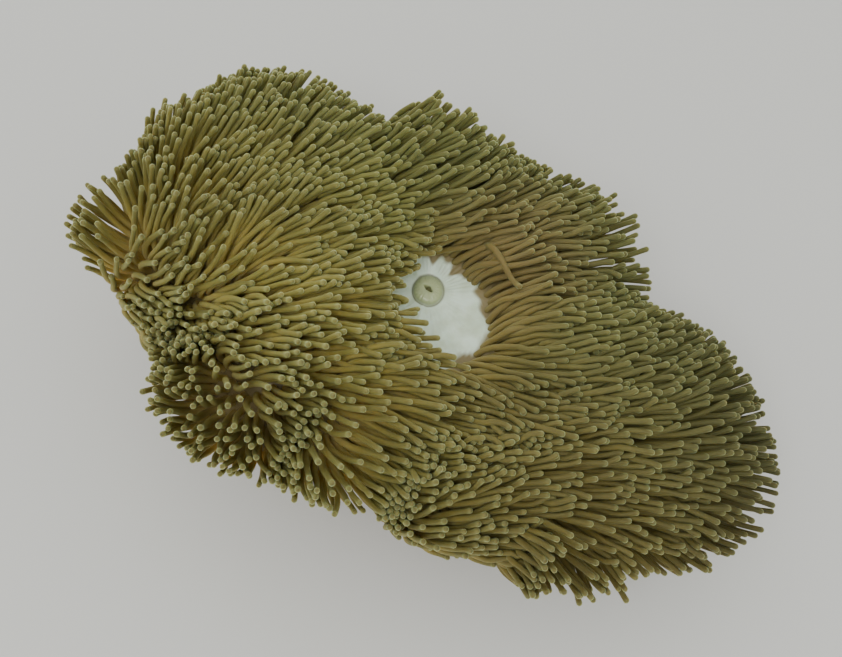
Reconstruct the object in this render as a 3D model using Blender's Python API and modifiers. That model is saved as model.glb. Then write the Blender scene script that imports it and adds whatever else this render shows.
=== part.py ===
"""Magnificent sea anemone, Radianthus (Heteractis) magnifica, life size and fully open.

A pedal disc on the ground carries a stout column, which flares into a broad oral disc. The disc is thrown into
eight lobes that hump up and then fall away at the margin. A bare, pale centre carries the raised mouth, and
finger-like tentacles, all leaning the way the water runs, cover the rest.

Frame: metres, +Z up, origin at the centre of the pedal disc's underside, -Y towards the viewer.
"""

import math
from dataclasses import dataclass

import bmesh
import bpy
import numpy as np
from mathutils import Quaternion, Vector

# ---------------------------------------------------------------- driving dimensions (metres and degrees)

GAP = 0.0004  # clearance between touching solids
BENT_GAP = 0.0010  # and between curved faces whose facets don't line up

FOOT_RADIUS = 0.086
FOOT_THICKNESS = 0.010
FOOT_EDGE = 0.0055  # height of the foot's rounded rim

WAIST_RADIUS = 0.058
COLLAR_RADIUS = 0.074  # where the column flares out under the disc
COLLAR_REACH = 10.0  # degrees to either side whose creases the column's top stays below

MOUTH_HEIGHT = 0.118  # height of the disc's skin at its centre
DISC_THICKNESS = 0.010  # near the middle
MARGIN_THICKNESS = 0.006
LEAN = 0.06  # the disc's back stands higher than its front by this share of the depth
CREST_SHARE = 0.5  # share of a lobe's reach over which it humps up
CREASE_DEPTH = 0.016  # how far the disc sinks between two lobes
MARGIN_NOTCH = 0.022  # and how far its margin draws in there

BARE_RADIUS = 0.0435  # mean radius of the disc's middle, which has no tentacles
BARE_SHIFT = 0.0225  # how far that bare patch lies off the mouth
BARE_HEADING = 250.0  # and which way, in degrees from +X towards +Y
BARE_STRETCH = -0.003  # how much wider it is from side to side than from front to back
MOUTH_LENGTH = 0.0115  # half length of the oval mouth
MOUTH_WIDTH = 0.0105
LIP_HEIGHT = 0.0055

TENTACLE_LENGTH = 0.062
RIM_SPACING = 0.0148  # between the tentacles that the solids carry along the margin
ROOT_SPACING = 0.0215  # and over the rest of the disc
RIM_BAND = 0.012  # width of the outermost row of the lobes' faces
RIM_RINGS = ((0.0, 0.0043), (0.34, 0.0038), (0.67, 0.0034), (1.0, 0.0027))  # share of the length, corner radius
INNER_RINGS = ((0.0, 0.0043), (0.50, 0.0036), (1.0, 0.0027))
CLEARANCE = 0.0012  # between one tentacle and the next
LIFTS = (0.0, 0.12, 0.24, 0.40, 0.60)  # how much stiffer a tentacle may stand to keep clear
TURNS = (0.0, 9.0, -9.0, 18.0, -18.0)  # degrees off the current, for the same reason

DRIFT_EASE = 0.010  # how softly the lean changes from one drift to the next
LEAST_RISE = 0.16  # sine of the least angle at which a tentacle leans off the skin


@dataclass(frozen=True)
class Drift:
    """Which way the tentacles rooted near one place lean."""

    x: float
    y: float
    heading: float  # degrees from +X towards +Y
    rise: float  # degrees above level


DRIFTS = (
    # over the left and the back
    Drift(-0.155, 0.065, 36, 28),
    Drift(-0.130, 0.030, 30, 24),
    Drift(-0.150, 0.005, 45, 32),
    Drift(-0.090, 0.060, 18, 18),
    Drift(-0.080, 0.028, 12, 15),
    Drift(-0.020, 0.065, 17, 18),
    Drift(-0.120, -0.008, 2, 12),
    Drift(-0.055, 0.000, -8, 10),
    Drift(-0.052, -0.024, -26, 8),
    Drift(-0.048, -0.050, -18, 6),
    Drift(-0.160, -0.025, -16, 19),
    Drift(-0.125, -0.050, -14, 22),
    Drift(-0.050, -0.072, -9, 5),
    # the left and back margins, where they stand up
    Drift(-0.196, -0.003, -47, 25),
    Drift(-0.205, 0.015, -18, 13),
    Drift(-0.214, 0.034, -170, 66),
    Drift(-0.182, 0.008, 15, 56),
    Drift(-0.190, 0.030, 34, 56),
    Drift(-0.206, 0.064, 75, 68),
    Drift(-0.216, 0.050, -178, 52),
    Drift(-0.205, 0.095, 52, 60),
    Drift(-0.180, 0.120, 26, 52),
    Drift(-0.155, 0.140, 36, 50),
    Drift(-0.105, 0.165, -10, 52),
    Drift(-0.130, 0.140, 27, 38),
    Drift(-0.087, 0.112, 9, 28),
    Drift(-0.055, 0.120, 0, 38),
    Drift(-0.055, 0.090, 12, 23),
    Drift(-0.006, 0.116, 25, 50),
    Drift(0.010, 0.112, -12, 26),
    # the front left bulge, where they part
    Drift(-0.150, -0.045, -50, 58),
    Drift(-0.180, -0.022, -60, 66),
    Drift(-0.175, -0.048, -120, 68),
    Drift(-0.166, -0.075, -120, 66),
    Drift(-0.154, -0.104, -108, 61),
    Drift(-0.138, -0.078, -70, 66),
    Drift(-0.125, -0.100, -84, 62),
    Drift(-0.114, -0.126, -92, 52),
    Drift(-0.077, -0.136, -80, 54),
    Drift(-0.118, -0.068, -30, 40),
    Drift(-0.102, -0.094, -50, 52),
    Drift(-0.088, -0.112, -64, 50),
    Drift(-0.050, -0.105, -22, 16),
    Drift(-0.032, -0.130, -50, 44),
    # the front
    Drift(-0.010, -0.140, 10, 52),
    Drift(0.012, -0.150, 0, 46),
    Drift(0.005, -0.128, 0, 22),
    Drift(0.012, -0.100, -20, 0),
    Drift(0.034, -0.140, -4, 16),
    Drift(0.060, -0.165, -76, 40),
    Drift(0.075, -0.145, -14, 8),
    Drift(0.085, -0.172, -88, 18),
    Drift(0.115, -0.165, -60, 14),
    Drift(0.145, -0.156, -32, 10),
    # the right
    Drift(0.010, -0.074, -14, 1),
    Drift(0.060, -0.060, -3, 6),
    Drift(0.055, 0.000, -5, 5),
    Drift(0.050, 0.036, 5, 11),
    Drift(0.006, 0.070, 28, 25),
    Drift(0.040, 0.085, 18, 28),
    Drift(0.090, 0.045, 6, 30),
    Drift(0.120, -0.010, -2, 14),
    Drift(0.115, -0.075, 8, 15),
    Drift(0.140, -0.087, 19, 23),
    Drift(0.120, -0.135, 4, 12),
    Drift(0.168, -0.115, 5, 14),
    Drift(0.180, -0.080, 3, 30),
    Drift(0.194, -0.110, -28, 18),
    Drift(0.175, -0.145, -18, 13),
)


@dataclass(frozen=True)
class Lobe:
    """One fold of the oral disc."""

    name: str
    azimuth: float  # degrees from +X towards +Y
    spread: float  # degrees over which it blends into its neighbours
    reach: float  # along the skin, from the mouth to the margin
    crown: float  # how far its back humps up
    fall: float  # degrees below level at the margin


LOBES = (
    Lobe("lobe_back_right", 14.0, 30.0, 0.117, 0.008, 38.0),
    Lobe("lobe_back", 105.0, 14.0, 0.128, 0.016, 12.0),
    Lobe("lobe_back_left", 155.0, 17.0, 0.254, 0.024, 45.0),
    Lobe("lobe_left", 169.0, 13.0, 0.252, 0.026, 58.0),
    Lobe("lobe_front_left", 210.0, 20.0, 0.208, 0.028, 60.0),
    Lobe("lobe_front", 238.0, 14.0, 0.171, 0.028, 70.0),
    Lobe("lobe_front_right", 294.0, 21.0, 0.206, 0.012, 76.0),
    Lobe("lobe_right", 321.0, 17.0, 0.262, 0.014, 60.0),
)

TENTACLE_OLIVE = (0.235, 0.190, 0.062)
DISC_CREAM = (0.62, 0.66, 0.56)
LIP_YELLOW = (0.50, 0.53, 0.30)
COLUMN_MAUVE = (0.30, 0.13, 0.22)


# ---------------------------------------------------------------- the disc's skin


def smooth(share):
    """Eases from 0 to 1."""
    share = np.clip(share, 0.0, 1.0)
    return share * share * (3.0 - 2.0 * share)


def lobes_at(azimuth):
    """(reach, crown, fall, crease) of the disc in this direction. Crease is 0 on a lobe and near 1 between two."""
    turns = [(azimuth - math.radians(lobe.azimuth) + math.pi) % math.tau - math.pi for lobe in LOBES]
    near = np.array([math.exp(-((turn / math.radians(lobe.spread)) ** 2)) for turn, lobe in zip(turns, LOBES)])
    weights = near / near.sum()
    reach = float(weights @ [lobe.reach for lobe in LOBES])
    crown = float(weights @ [lobe.crown for lobe in LOBES])
    fall = float(weights @ [math.radians(lobe.fall) for lobe in LOBES])
    crease = 1.0 - min(float(near.max()), 1.0)
    return reach - MARGIN_NOTCH * crease, crown, fall, crease


def bare_edge(azimuth):
    """Where the bare patch ends in this direction, measured from the mouth."""
    turn = azimuth - math.radians(BARE_HEADING)
    return BARE_RADIUS + BARE_SHIFT * math.cos(turn) + BARE_STRETCH * math.cos(2.0 * azimuth)


def skin_point(azimuth, arc):
    """The point of the disc's upper skin that lies this far from its centre, measured along the skin."""
    steps = 40
    reach, crown, fall, crease = lobes_at(azimuth)
    share = arc / reach * (np.arange(steps) + 0.5) / steps
    rise = crown * math.pi / (2.0 * CREST_SHARE * reach)
    slope = fall * smooth((share - CREST_SHARE) / (1.0 - CREST_SHARE))
    slope = slope - rise * np.sin(math.pi * np.clip(share / CREST_SHARE, 0.0, 1.0))
    out = float(np.cos(slope).mean()) * arc
    down = float(np.sin(slope).mean()) * arc
    down += CREASE_DEPTH * crease * float(smooth((arc / reach - 0.25) / 0.75))
    x, y = out * math.cos(azimuth), out * math.sin(azimuth)
    return Vector((x, y, MOUTH_HEIGHT - down + LEAN * y))


def skin_frame(azimuth, arc):
    """(point, normal, way out along the skin, way round) on the disc's upper skin."""
    arc = max(arc, 0.002)
    step = 0.0005
    out = skin_point(azimuth, arc + step) - skin_point(azimuth, arc - step)
    turn = step / arc
    along = skin_point(azimuth + turn, arc) - skin_point(azimuth - turn, arc)
    return skin_point(azimuth, arc), out.cross(along).normalized(), out.normalized(), along.normalized()


def disc_thickness(azimuth, arc):
    """The disc thins from its middle to its margin."""
    share = min(arc / lobes_at(azimuth)[0], 1.0)
    return DISC_THICKNESS + (MARGIN_THICKNESS - DISC_THICKNESS) * share


def under_skin(azimuth, arc, depth):
    """The point this share of the disc's thickness below its upper skin; over 1 is below the disc."""
    point, normal, _, _ = skin_frame(azimuth, arc)
    return point - normal * disc_thickness(azimuth, arc) * depth


def lean_at(point, turn):
    """The way a tentacle rooted at this point leans, this many degrees off the usual; short where drifts disagree."""
    lean, total = Vector(), 0.0
    for drift in DRIFTS:
        heading, rise = math.radians(drift.heading), math.radians(drift.rise)
        way = Vector((math.cos(heading) * math.cos(rise), math.sin(heading) * math.cos(rise), math.sin(rise)))
        weight = 1.0 / ((point.x - drift.x) ** 2 + (point.y - drift.y) ** 2 + DRIFT_EASE**2) ** 2
        lean += way * weight
        total += weight
    lean /= total
    lean.rotate(Quaternion((0.0, 0.0, 1.0), math.radians(turn)))
    return lean


def tentacle_path(azimuth, arc, rings, lift=0.0, turn=0.0):
    """[(centre, direction, radius)] of a tentacle's rings, from its root on the skin to its tip.

    It leaves the skin near square, then bends over the way the water leans it.
    """
    steps = 24
    root, normal, _, _ = skin_frame(azimuth, arc)
    lean = lean_at(root, turn)
    lean += normal * max(LEAST_RISE - lean.dot(normal), 0.0)
    trail = [(root.copy(), normal.copy())]
    for step in range(steps):
        bend = 0.42 + 0.55 * float(smooth((step + 0.5) / steps / 0.6))
        direction = (normal * (1.15 * (1.0 - bend) + 0.04 + lift) + lean * bend).normalized()
        trail.append((trail[-1][0] + direction * TENTACLE_LENGTH / steps, direction))
    return [(*trail[round(share * steps)], radius) for share, radius in rings]


# ---------------------------------------------------------------- making objects


def clear_scene():
    """Removes whatever the scene holds."""
    for item in list(bpy.data.objects):
        bpy.data.objects.remove(item)


def make_collection(name):
    """A collection that the scene shows."""
    collection = bpy.data.collections.new(name)
    bpy.context.scene.collection.children.link(collection)
    return collection


def make_material(name, colour, roughness):
    """A Principled material of one colour."""
    material = bpy.data.materials.new(name)
    material.use_nodes = True
    shader = material.node_tree.nodes["Principled BSDF"]
    shader.inputs["Base Color"].default_value = (*colour, 1.0)
    shader.inputs["Roughness"].default_value = roughness
    return material


def finish_object(name, blank, collection, material):
    """Turns a bmesh into a named, smooth-shaded object."""
    bmesh.ops.recalc_face_normals(blank, faces=blank.faces[:])
    if blank.calc_volume(signed=True) < 0.0:
        bmesh.ops.reverse_faces(blank, faces=blank.faces[:])
    mesh = bpy.data.meshes.new(name)
    blank.to_mesh(mesh)
    blank.free()
    mesh.shade_smooth()
    mesh.set_sharp_from_angle(angle=math.radians(50.0))
    mesh.materials.append(material)
    body = bpy.data.objects.new(name, mesh)
    collection.objects.link(body)
    return body


def turned_blank(profile, steps):
    """A closed bmesh turned about Z from (radius, height) points that start and end on the axis."""
    mesh = bpy.data.meshes.new("profile")
    points = [(radius, 0.0, height) for radius, height in profile]
    mesh.from_pydata(points, [(i, i + 1) for i in range(len(points) - 1)], [])
    guide = bpy.data.objects.new("profile", mesh)
    bpy.context.scene.collection.objects.link(guide)
    screw = guide.modifiers.new("turn", "SCREW")
    screw.steps = screw.render_steps = steps
    screw.use_merge_vertices = True
    screw.merge_threshold = 0.00001
    turned = bpy.data.meshes.new_from_object(guide.evaluated_get(bpy.context.evaluated_depsgraph_get()))
    bpy.data.objects.remove(guide)
    blank = bmesh.new()
    blank.from_mesh(turned)
    bpy.data.meshes.remove(turned)
    bmesh.ops.remove_doubles(blank, verts=blank.verts[:], dist=0.00001)
    return blank


def polar(place):
    """(azimuth, radius) of a point about Z."""
    return math.atan2(place.y, place.x), math.hypot(place.x, place.y)


# ---------------------------------------------------------------- foot, column, centre and mouth


def make_foot(collection, material):
    """The pedal disc, flat below, with a soft rim."""
    rim = FOOT_RADIUS - 0.004
    profile = [
        (0.0, FOOT_THICKNESS),
        (FOOT_RADIUS - 0.010, FOOT_THICKNESS),
        (rim, FOOT_THICKNESS - 0.002),
        (FOOT_RADIUS, FOOT_EDGE),
        (FOOT_RADIUS - 0.001, 0.0015),
        (rim, 0.0),
        (0.0, 0.0),
    ]
    return finish_object("pedal_disc", turned_blank(profile, 28), collection, material)


def lowest_near(azimuth, arc, depth):
    """The lowest the disc's underside comes within COLLAR_REACH of this direction, without its lean."""
    lean = LEAN * under_skin(azimuth, arc, depth).y
    turns = [math.radians(COLLAR_REACH) * k / 3 for k in range(-3, 4)]
    spots = [under_skin(azimuth + turn, arc, depth) for turn in turns]
    return min(spot.z - LEAN * spot.y for spot in spots) + lean


def centre_arc(azimuth, share):
    """The distance from the mouth at this share of the bare patch. A third of the way is the mouth's edge."""
    inner = MOUTH_LENGTH + BENT_GAP
    outer = max(share * 3.0 - 1.0, 0.0) / 2.0
    return inner * min(share * 3.0, 1.0) + (bare_edge(azimuth) - BENT_GAP - inner) * outer


def make_column(collection, material):
    """The trunk, from the foot up to the disc's underside, which its top follows.

    The blank's heights are shares: 0 on the foot, 1 at the collar, and 2 on the cap under the disc.
    """
    base = FOOT_THICKNESS + GAP
    cap = [(share * COLLAR_RADIUS, 2.0) for share in (0.0, 0.2, 0.4, 0.6, 0.8, 1.0)]
    side = [
        (COLLAR_RADIUS - 0.005, 0.90),
        (WAIST_RADIUS + 0.003, 0.70),
        (WAIST_RADIUS, 0.46),
        (WAIST_RADIUS + 0.004, 0.24),
        (WAIST_RADIUS + 0.011, 0.09),
        (FOOT_RADIUS - 0.009, 0.0),
    ]
    blank = turned_blank(cap + side + [(0.0, 0.0)], 28)
    for vert in blank.verts:
        azimuth, radius = polar(vert.co)
        if vert.co.z > 1.5:
            inner = min(radius / COLLAR_RADIUS / 0.6, 1.0)
            outer = max(radius / COLLAR_RADIUS - 0.6, 0.0) / 0.4
            radius = centre_arc(azimuth, inner) + (COLLAR_RADIUS - bare_edge(azimuth) + BENT_GAP) * outer
            clear = 1.0 + BENT_GAP / disc_thickness(azimuth, radius)
            vert.co = under_skin(azimuth, radius, clear)
            vert.co.z = lowest_near(azimuth, radius, clear)
        else:
            vert.co.z = base + (lowest_near(azimuth, COLLAR_RADIUS, 1.0) - base) * vert.co.z
    return finish_object("column", blank, collection, material)


def make_centre(collection, material):
    """The bare middle of the oral disc."""
    rings = [0.0, 1 / 3, 2 / 3, 1.0]
    profile = [(radius, 0.0) for radius in rings] + [(radius, 1.0) for radius in reversed(rings)]
    blank = turned_blank(profile, 28)
    for vert in blank.verts:
        azimuth, share = polar(vert.co)
        vert.co = under_skin(azimuth, centre_arc(azimuth, share), vert.co.z)
    return finish_object("oral_disc", blank, collection, material)


def make_mouth(collection, material):
    """The raised oval mouth: a low cone with rounded lips round a sunken slit."""
    profile = [
        (0.0, 0.35),
        (0.22, 0.45),
        (0.36, 0.90),
        (0.50, 1.00),
        (0.66, 0.85),
        (0.84, 0.45),
        (1.0, 0.0),
        (0.5, 0.0),
        (0.0, 0.0),
    ]
    blank = turned_blank(profile, 24)
    for vert in blank.verts:
        height = vert.co.z * LIP_HEIGHT
        azimuth, radius = polar(Vector((vert.co.x * MOUTH_WIDTH, vert.co.y * MOUTH_LENGTH, 0.0)))
        point, normal, _, _ = skin_frame(azimuth, radius)
        vert.co = point + normal * (BENT_GAP + height)
    return finish_object("mouth", blank, collection, material)


# ---------------------------------------------------------------- lobes with their tentacles


def sector_of(index):
    """(first, last) azimuth of a lobe, in radians, where it meets its neighbours."""
    ends = []
    for other in (index - 1, (index + 1) % len(LOBES)):
        here, there = LOBES[index], LOBES[other]
        turn = (there.azimuth - here.azimuth + 180.0) % 360.0 - 180.0
        ends.append(math.radians(here.azimuth + turn * here.spread / (here.spread + there.spread)))
    return ends


def slab_blank(columns, rows):
    """A flat box of columns by rows faces, with x and y from 0 to 1, and z 0 on top and 1 below."""
    blank = bmesh.new()
    bmesh.ops.create_grid(blank, x_segments=columns, y_segments=rows, size=0.5)
    bmesh.ops.translate(blank, verts=blank.verts[:], vec=(0.5, 0.5, 0.0))
    made = bmesh.ops.extrude_face_region(blank, geom=blank.faces[:], use_keep_orig=True)
    below = [item for item in made["geom"] if isinstance(item, bmesh.types.BMVert)]
    bmesh.ops.translate(blank, verts=below, vec=(0.0, 0.0, 1.0))
    bmesh.ops.recalc_face_normals(blank, faces=blank.faces[:])
    return blank


def arc_at(azimuth, share, rows):
    """The distance from the mouth at this share of the rows between the bare patch and the margin."""
    start = bare_edge(azimuth) + BENT_GAP
    end = lobes_at(azimuth)[0]
    row = share * rows
    if row > rows - 1:
        return end - RIM_BAND * (rows - row)
    return start + (end - RIM_BAND - start) * row / (rows - 1)


def tentacle_cells(columns, rows, first, last):
    """{(column, row)} that carry a tentacle: all those at the margin, and fewer further in."""
    cells = {(column, rows - 1) for column in range(columns)}
    for row in range(rows - 1):
        middle = (first + last) / 2
        arc = arc_at(middle, (row + 0.5) / rows, rows)
        wide = math.hypot(*skin_point(middle, arc).xy) * (last - first)
        count = min(max(round(wide / ROOT_SPACING), 1), (columns + 1) // 2)
        cells.update((int((k + 0.5 + 0.25 * (-1) ** row) * columns / count) % columns, row) for k in range(count))
    return cells


class Thicket:
    """What has been built so far, so that each new tentacle can be kept clear of it."""

    def __init__(self):
        """Samples the disc's skin."""
        spots = []
        for turn in range(96):
            azimuth = math.tau * turn / 96
            reach = lobes_at(azimuth)[0]
            spots += [skin_frame(azimuth, reach * (k + 1) / 26)[:2] for k in range(26)]
        self.skin = np.array([spot for spot, _ in spots])
        self.normals = np.array([normal for _, normal in spots])
        self.points = np.zeros((0, 3))
        self.radii = np.zeros(0)

    def samples(self, path):
        """(points, radii) along a tentacle's straight pieces."""
        points, radii = [], []
        for (start, _, wide), (end, _, narrow) in zip(path, path[1:]):
            for k in range(12):
                points.append(start.lerp(end, (k + 1) / 12))
                radii.append(wide + (narrow - wide) * (k + 1) / 12)
        return np.array(points), np.array(radii)

    def is_clear(self, path):
        """Whether this tentacle keeps off the others and off the skin."""
        points, radii = self.samples(path)
        if len(self.points):
            apart = np.linalg.norm(points[:, None] - self.points[None], axis=2)
            if (apart < radii[:, None] + self.radii[None] + CLEARANCE).any():
                return False
        far = slice(len(points) // 4, None)
        offset = points[far][:, None] - self.skin[None]
        height = (offset * self.normals[None]).sum(axis=2)
        aside = np.linalg.norm(offset - height[..., None] * self.normals[None], axis=2)
        deep = MARGIN_THICKNESS + radii[far][:, None] + 0.002
        return not ((aside < 0.0075) & (height < radii[far][:, None] + 0.0008) & (height > -deep)).any()

    def fit(self, azimuth, arc, rings):
        """The path of a tentacle rooted here that keeps clear, or None. A path that fits is remembered."""
        for turn, lift in sorted(((t, l) for t in TURNS for l in LIFTS), key=lambda pair: abs(pair[0]) / 60 + pair[1]):
            path = tentacle_path(azimuth, arc, rings, lift, turn)
            if self.is_clear(path):
                points, radii = self.samples(path)
                self.points = np.concatenate([self.points, points])
                self.radii = np.concatenate([self.radii, radii])
                return path
        return None


def grow_tentacle(blank, face, azimuth, arc, path):
    """Extrudes one face of the skin into a tapering, bending finger."""
    _, before, across, along = skin_frame(azimuth, arc)
    middle = face.calc_center_median()
    corners = np.unwrap([math.atan2((v.co - middle).dot(along), (v.co - middle).dot(across)) for v in face.verts])
    quarter = math.copysign(math.pi / 2, corners[-1] - corners[0])
    corners = float(np.mean(corners - quarter * np.arange(4))) + quarter * np.arange(4)
    for centre, direction, radius in path:
        across.rotate(before.rotation_difference(direction))
        before = direction
        side = direction.cross(across).normalized()
        face = bmesh.ops.extrude_discrete_faces(blank, faces=[face])["faces"][0]
        for vert, corner in zip(face.verts, corners):
            vert.co = centre + (across * math.cos(corner) + side * math.sin(corner)) * radius


def make_lobe(index, collection, material, thicket):
    """One sector of the disc, as a slab that follows the skin, with its tentacles."""
    first, last = sector_of(index)
    reach = LOBES[index].reach
    columns = max(3, round((last - first) * 0.8 * reach / RIM_SPACING))
    inner = bare_edge(math.radians(LOBES[index].azimuth))
    rows = max(3, 1 + round((reach - RIM_BAND - inner) / ROOT_SPACING))
    blank = slab_blank(columns, rows)
    blank.faces.ensure_lookup_table()
    carriers = []
    cells = tentacle_cells(columns, rows, first, last)
    for face in blank.faces:
        middle = face.calc_center_median()
        cell = int(middle.x * columns), int(middle.y * rows)
        if middle.z < 0.01 and cell in cells:
            azimuth = first + (last - first) * middle.x
            carriers.append((face, azimuth, arc_at(azimuth, middle.y, rows), cell[1] == rows - 1))
    for vert in blank.verts:
        column, row, depth = vert.co
        azimuth = first + (last - first) * column
        arc = arc_at(azimuth, row, rows)
        vert.co = under_skin(azimuth, arc, depth)
        if column < 0.001 or column > 0.999:
            around = Vector((-math.sin(azimuth), math.cos(azimuth), 0.0))
            vert.co -= around * vert.co.dot(around)
            vert.co += around * math.copysign(GAP / 2, 0.5 - column)
    bmesh.ops.recalc_face_normals(blank, faces=blank.faces[:])
    carriers.sort(key=lambda carrier: (not carrier[3], carrier[2], carrier[1]))
    for face, azimuth, arc, on_rim in carriers:
        path = thicket.fit(azimuth, arc, RIM_RINGS if on_rim else INNER_RINGS)
        if path:
            grow_tentacle(blank, face, azimuth, arc, path)
    return finish_object(LOBES[index].name, blank, collection, material)


def main():
    """Builds the anemone from the ground up."""
    clear_scene()
    anemone = make_collection("magnificent_sea_anemone")
    mauve = make_material("column", COLUMN_MAUVE, 0.45)
    cream = make_material("oral_disc", DISC_CREAM, 0.35)
    yellow = make_material("mouth", LIP_YELLOW, 0.35)
    olive = make_material("tentacle", TENTACLE_OLIVE, 0.40)
    make_foot(anemone, mauve)
    make_column(anemone, mauve)
    make_centre(anemone, cream)
    make_mouth(anemone, yellow)
    thicket = Thicket()
    for index in range(len(LOBES)):
        make_lobe(index, anemone, olive, thicket)


main()
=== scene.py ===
"""Magnificent sea anemone, life size and fully open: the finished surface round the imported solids.

One closed skin makes the foot, the column, the folded oral disc and the raised mouth. The tentacles, grouped
by the lobe they grow from, are swept by Geometry Nodes along centre-lines that lean with the current and rest
on one another.

Frame: metres, +Z up, origin at the centre of the pedal disc's underside, -Y towards the viewer.
"""

import logging
import math
from dataclasses import dataclass, field
from enum import Enum

import bmesh
import bpy
import numpy as np
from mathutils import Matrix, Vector
from mathutils.bvhtree import BVHTree
from mathutils.kdtree import KDTree


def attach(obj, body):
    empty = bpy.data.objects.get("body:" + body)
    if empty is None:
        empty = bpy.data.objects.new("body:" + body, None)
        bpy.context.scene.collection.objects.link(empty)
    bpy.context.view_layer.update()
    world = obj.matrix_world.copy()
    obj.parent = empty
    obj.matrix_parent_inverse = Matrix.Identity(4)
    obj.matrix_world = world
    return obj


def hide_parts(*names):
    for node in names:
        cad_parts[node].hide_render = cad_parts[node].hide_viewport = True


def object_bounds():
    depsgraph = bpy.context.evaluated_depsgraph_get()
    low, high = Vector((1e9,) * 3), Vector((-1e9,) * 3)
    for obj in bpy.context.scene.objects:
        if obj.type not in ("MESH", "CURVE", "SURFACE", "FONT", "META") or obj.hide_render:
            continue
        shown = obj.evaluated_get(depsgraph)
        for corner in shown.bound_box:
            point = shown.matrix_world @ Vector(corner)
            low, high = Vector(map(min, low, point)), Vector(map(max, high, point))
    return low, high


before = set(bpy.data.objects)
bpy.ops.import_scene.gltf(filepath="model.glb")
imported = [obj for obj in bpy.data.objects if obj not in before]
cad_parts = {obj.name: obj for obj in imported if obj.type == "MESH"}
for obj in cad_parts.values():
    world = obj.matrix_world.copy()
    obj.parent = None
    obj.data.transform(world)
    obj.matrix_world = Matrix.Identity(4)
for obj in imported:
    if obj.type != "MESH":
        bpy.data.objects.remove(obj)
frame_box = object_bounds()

log = logging.getLogger("anemone")

Colour = tuple[float, float, float]
Place = tuple[float, float, float]
Inputs = dict[str | int, object]


# ---------------------------------------------------------------- small helpers


def smooth(share: np.ndarray) -> np.ndarray:
    """Eases from 0 to 1, and holds outside that range."""
    share = np.clip(share, 0.0, 1.0)
    return share * share * (3.0 - 2.0 * share)


def unit(vectors: np.ndarray) -> np.ndarray:
    """Scales vectors, which lie along the last axis, to length one."""
    return vectors / np.maximum(np.linalg.norm(vectors, axis=-1, keepdims=True), 1e-12)


def dot(first: np.ndarray, second: np.ndarray) -> np.ndarray:
    """The inner product along the last axis, which is kept at length one."""
    return (first * second).sum(axis=-1, keepdims=True)


def ring_of(azimuth: np.ndarray, radius: np.ndarray, height: np.ndarray | float) -> np.ndarray:
    """Points round the upright axis, in these directions and at these radii and heights."""
    return np.stack([radius * np.cos(azimuth), radius * np.sin(azimuth), np.full_like(azimuth, height)], -1)


def ripple(points: np.ndarray, size: float, seed: int, waves: int = 7) -> np.ndarray:
    """Smooth noise made of a few plane waves.

    Args:
        points: Positions, with x, y and z on the last axis.
        size: The length of a wave, in metres.
        seed: Which noise.
        waves: How many waves make it.

    Returns:
        Values between about -1 and 1, one for each point.
    """
    random = np.random.default_rng(seed)
    total = np.zeros(points.shape[:-1])
    for _ in range(waves):
        direction = random.normal(size=3)
        direction /= np.linalg.norm(direction)
        pace = math.tau / (size * random.uniform(0.7, 1.5))
        total += np.sin(points @ direction * pace + random.uniform(0.0, math.tau))
    return total / math.sqrt(waves)


def polar_grid(turns: int, rows: int, start: float) -> tuple[np.ndarray, np.ndarray, list[tuple[int, ...]]]:
    """A grid round the mouth, with one column of points for each direction.

    Args:
        turns: How many directions.
        rows: How many points in each.
        start: The first point's share of the way out.

    Returns:
        Each point's direction and share of the way out, and the faces.
    """
    azimuth = np.repeat(np.arange(turns) * math.tau / turns, rows)
    share = np.tile(np.linspace(start, 1.0, rows), turns)
    faces = []
    for turn in range(turns):
        here, there = turn * rows, (turn + 1) % turns * rows
        faces += [(here + k, here + k + 1, there + k + 1, there + k) for k in range(rows - 1)]
    return azimuth, share, faces


# ---------------------------------------------------------------- the folded disc


@dataclass(frozen=True)
class Lobe:
    """One fold of the oral disc. Angles are in degrees, lengths in metres."""

    name: str
    azimuth: float
    spread: float
    reach: float
    crown: float
    fall: float


@dataclass(frozen=True)
class DiscSizes:
    """Sizes of the oral disc."""

    mouth_height: float = 0.118
    middle_thickness: float = 0.010
    margin_thickness: float = 0.006
    lean: float = 0.06
    crest_share: float = 0.5
    crease_start: float = 0.25
    crease_depth: float = 0.016
    margin_notch: float = 0.022
    bare_radius: float = 0.0435
    bare_shift: float = 0.0225
    bare_stretch: float = -0.003
    bare_heading: float = 250.0
    lobes: tuple[Lobe, ...] = (
        Lobe("back_right", 14.0, 30.0, 0.117, 0.008, 38.0),
        Lobe("back", 105.0, 14.0, 0.128, 0.016, 12.0),
        Lobe("back_left", 155.0, 17.0, 0.254, 0.024, 45.0),
        Lobe("left", 169.0, 13.0, 0.252, 0.026, 58.0),
        Lobe("front_left", 210.0, 20.0, 0.208, 0.028, 60.0),
        Lobe("front", 238.0, 14.0, 0.171, 0.028, 70.0),
        Lobe("front_right", 294.0, 21.0, 0.206, 0.012, 76.0),
        Lobe("right", 321.0, 17.0, 0.262, 0.014, 60.0),
    )


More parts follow.
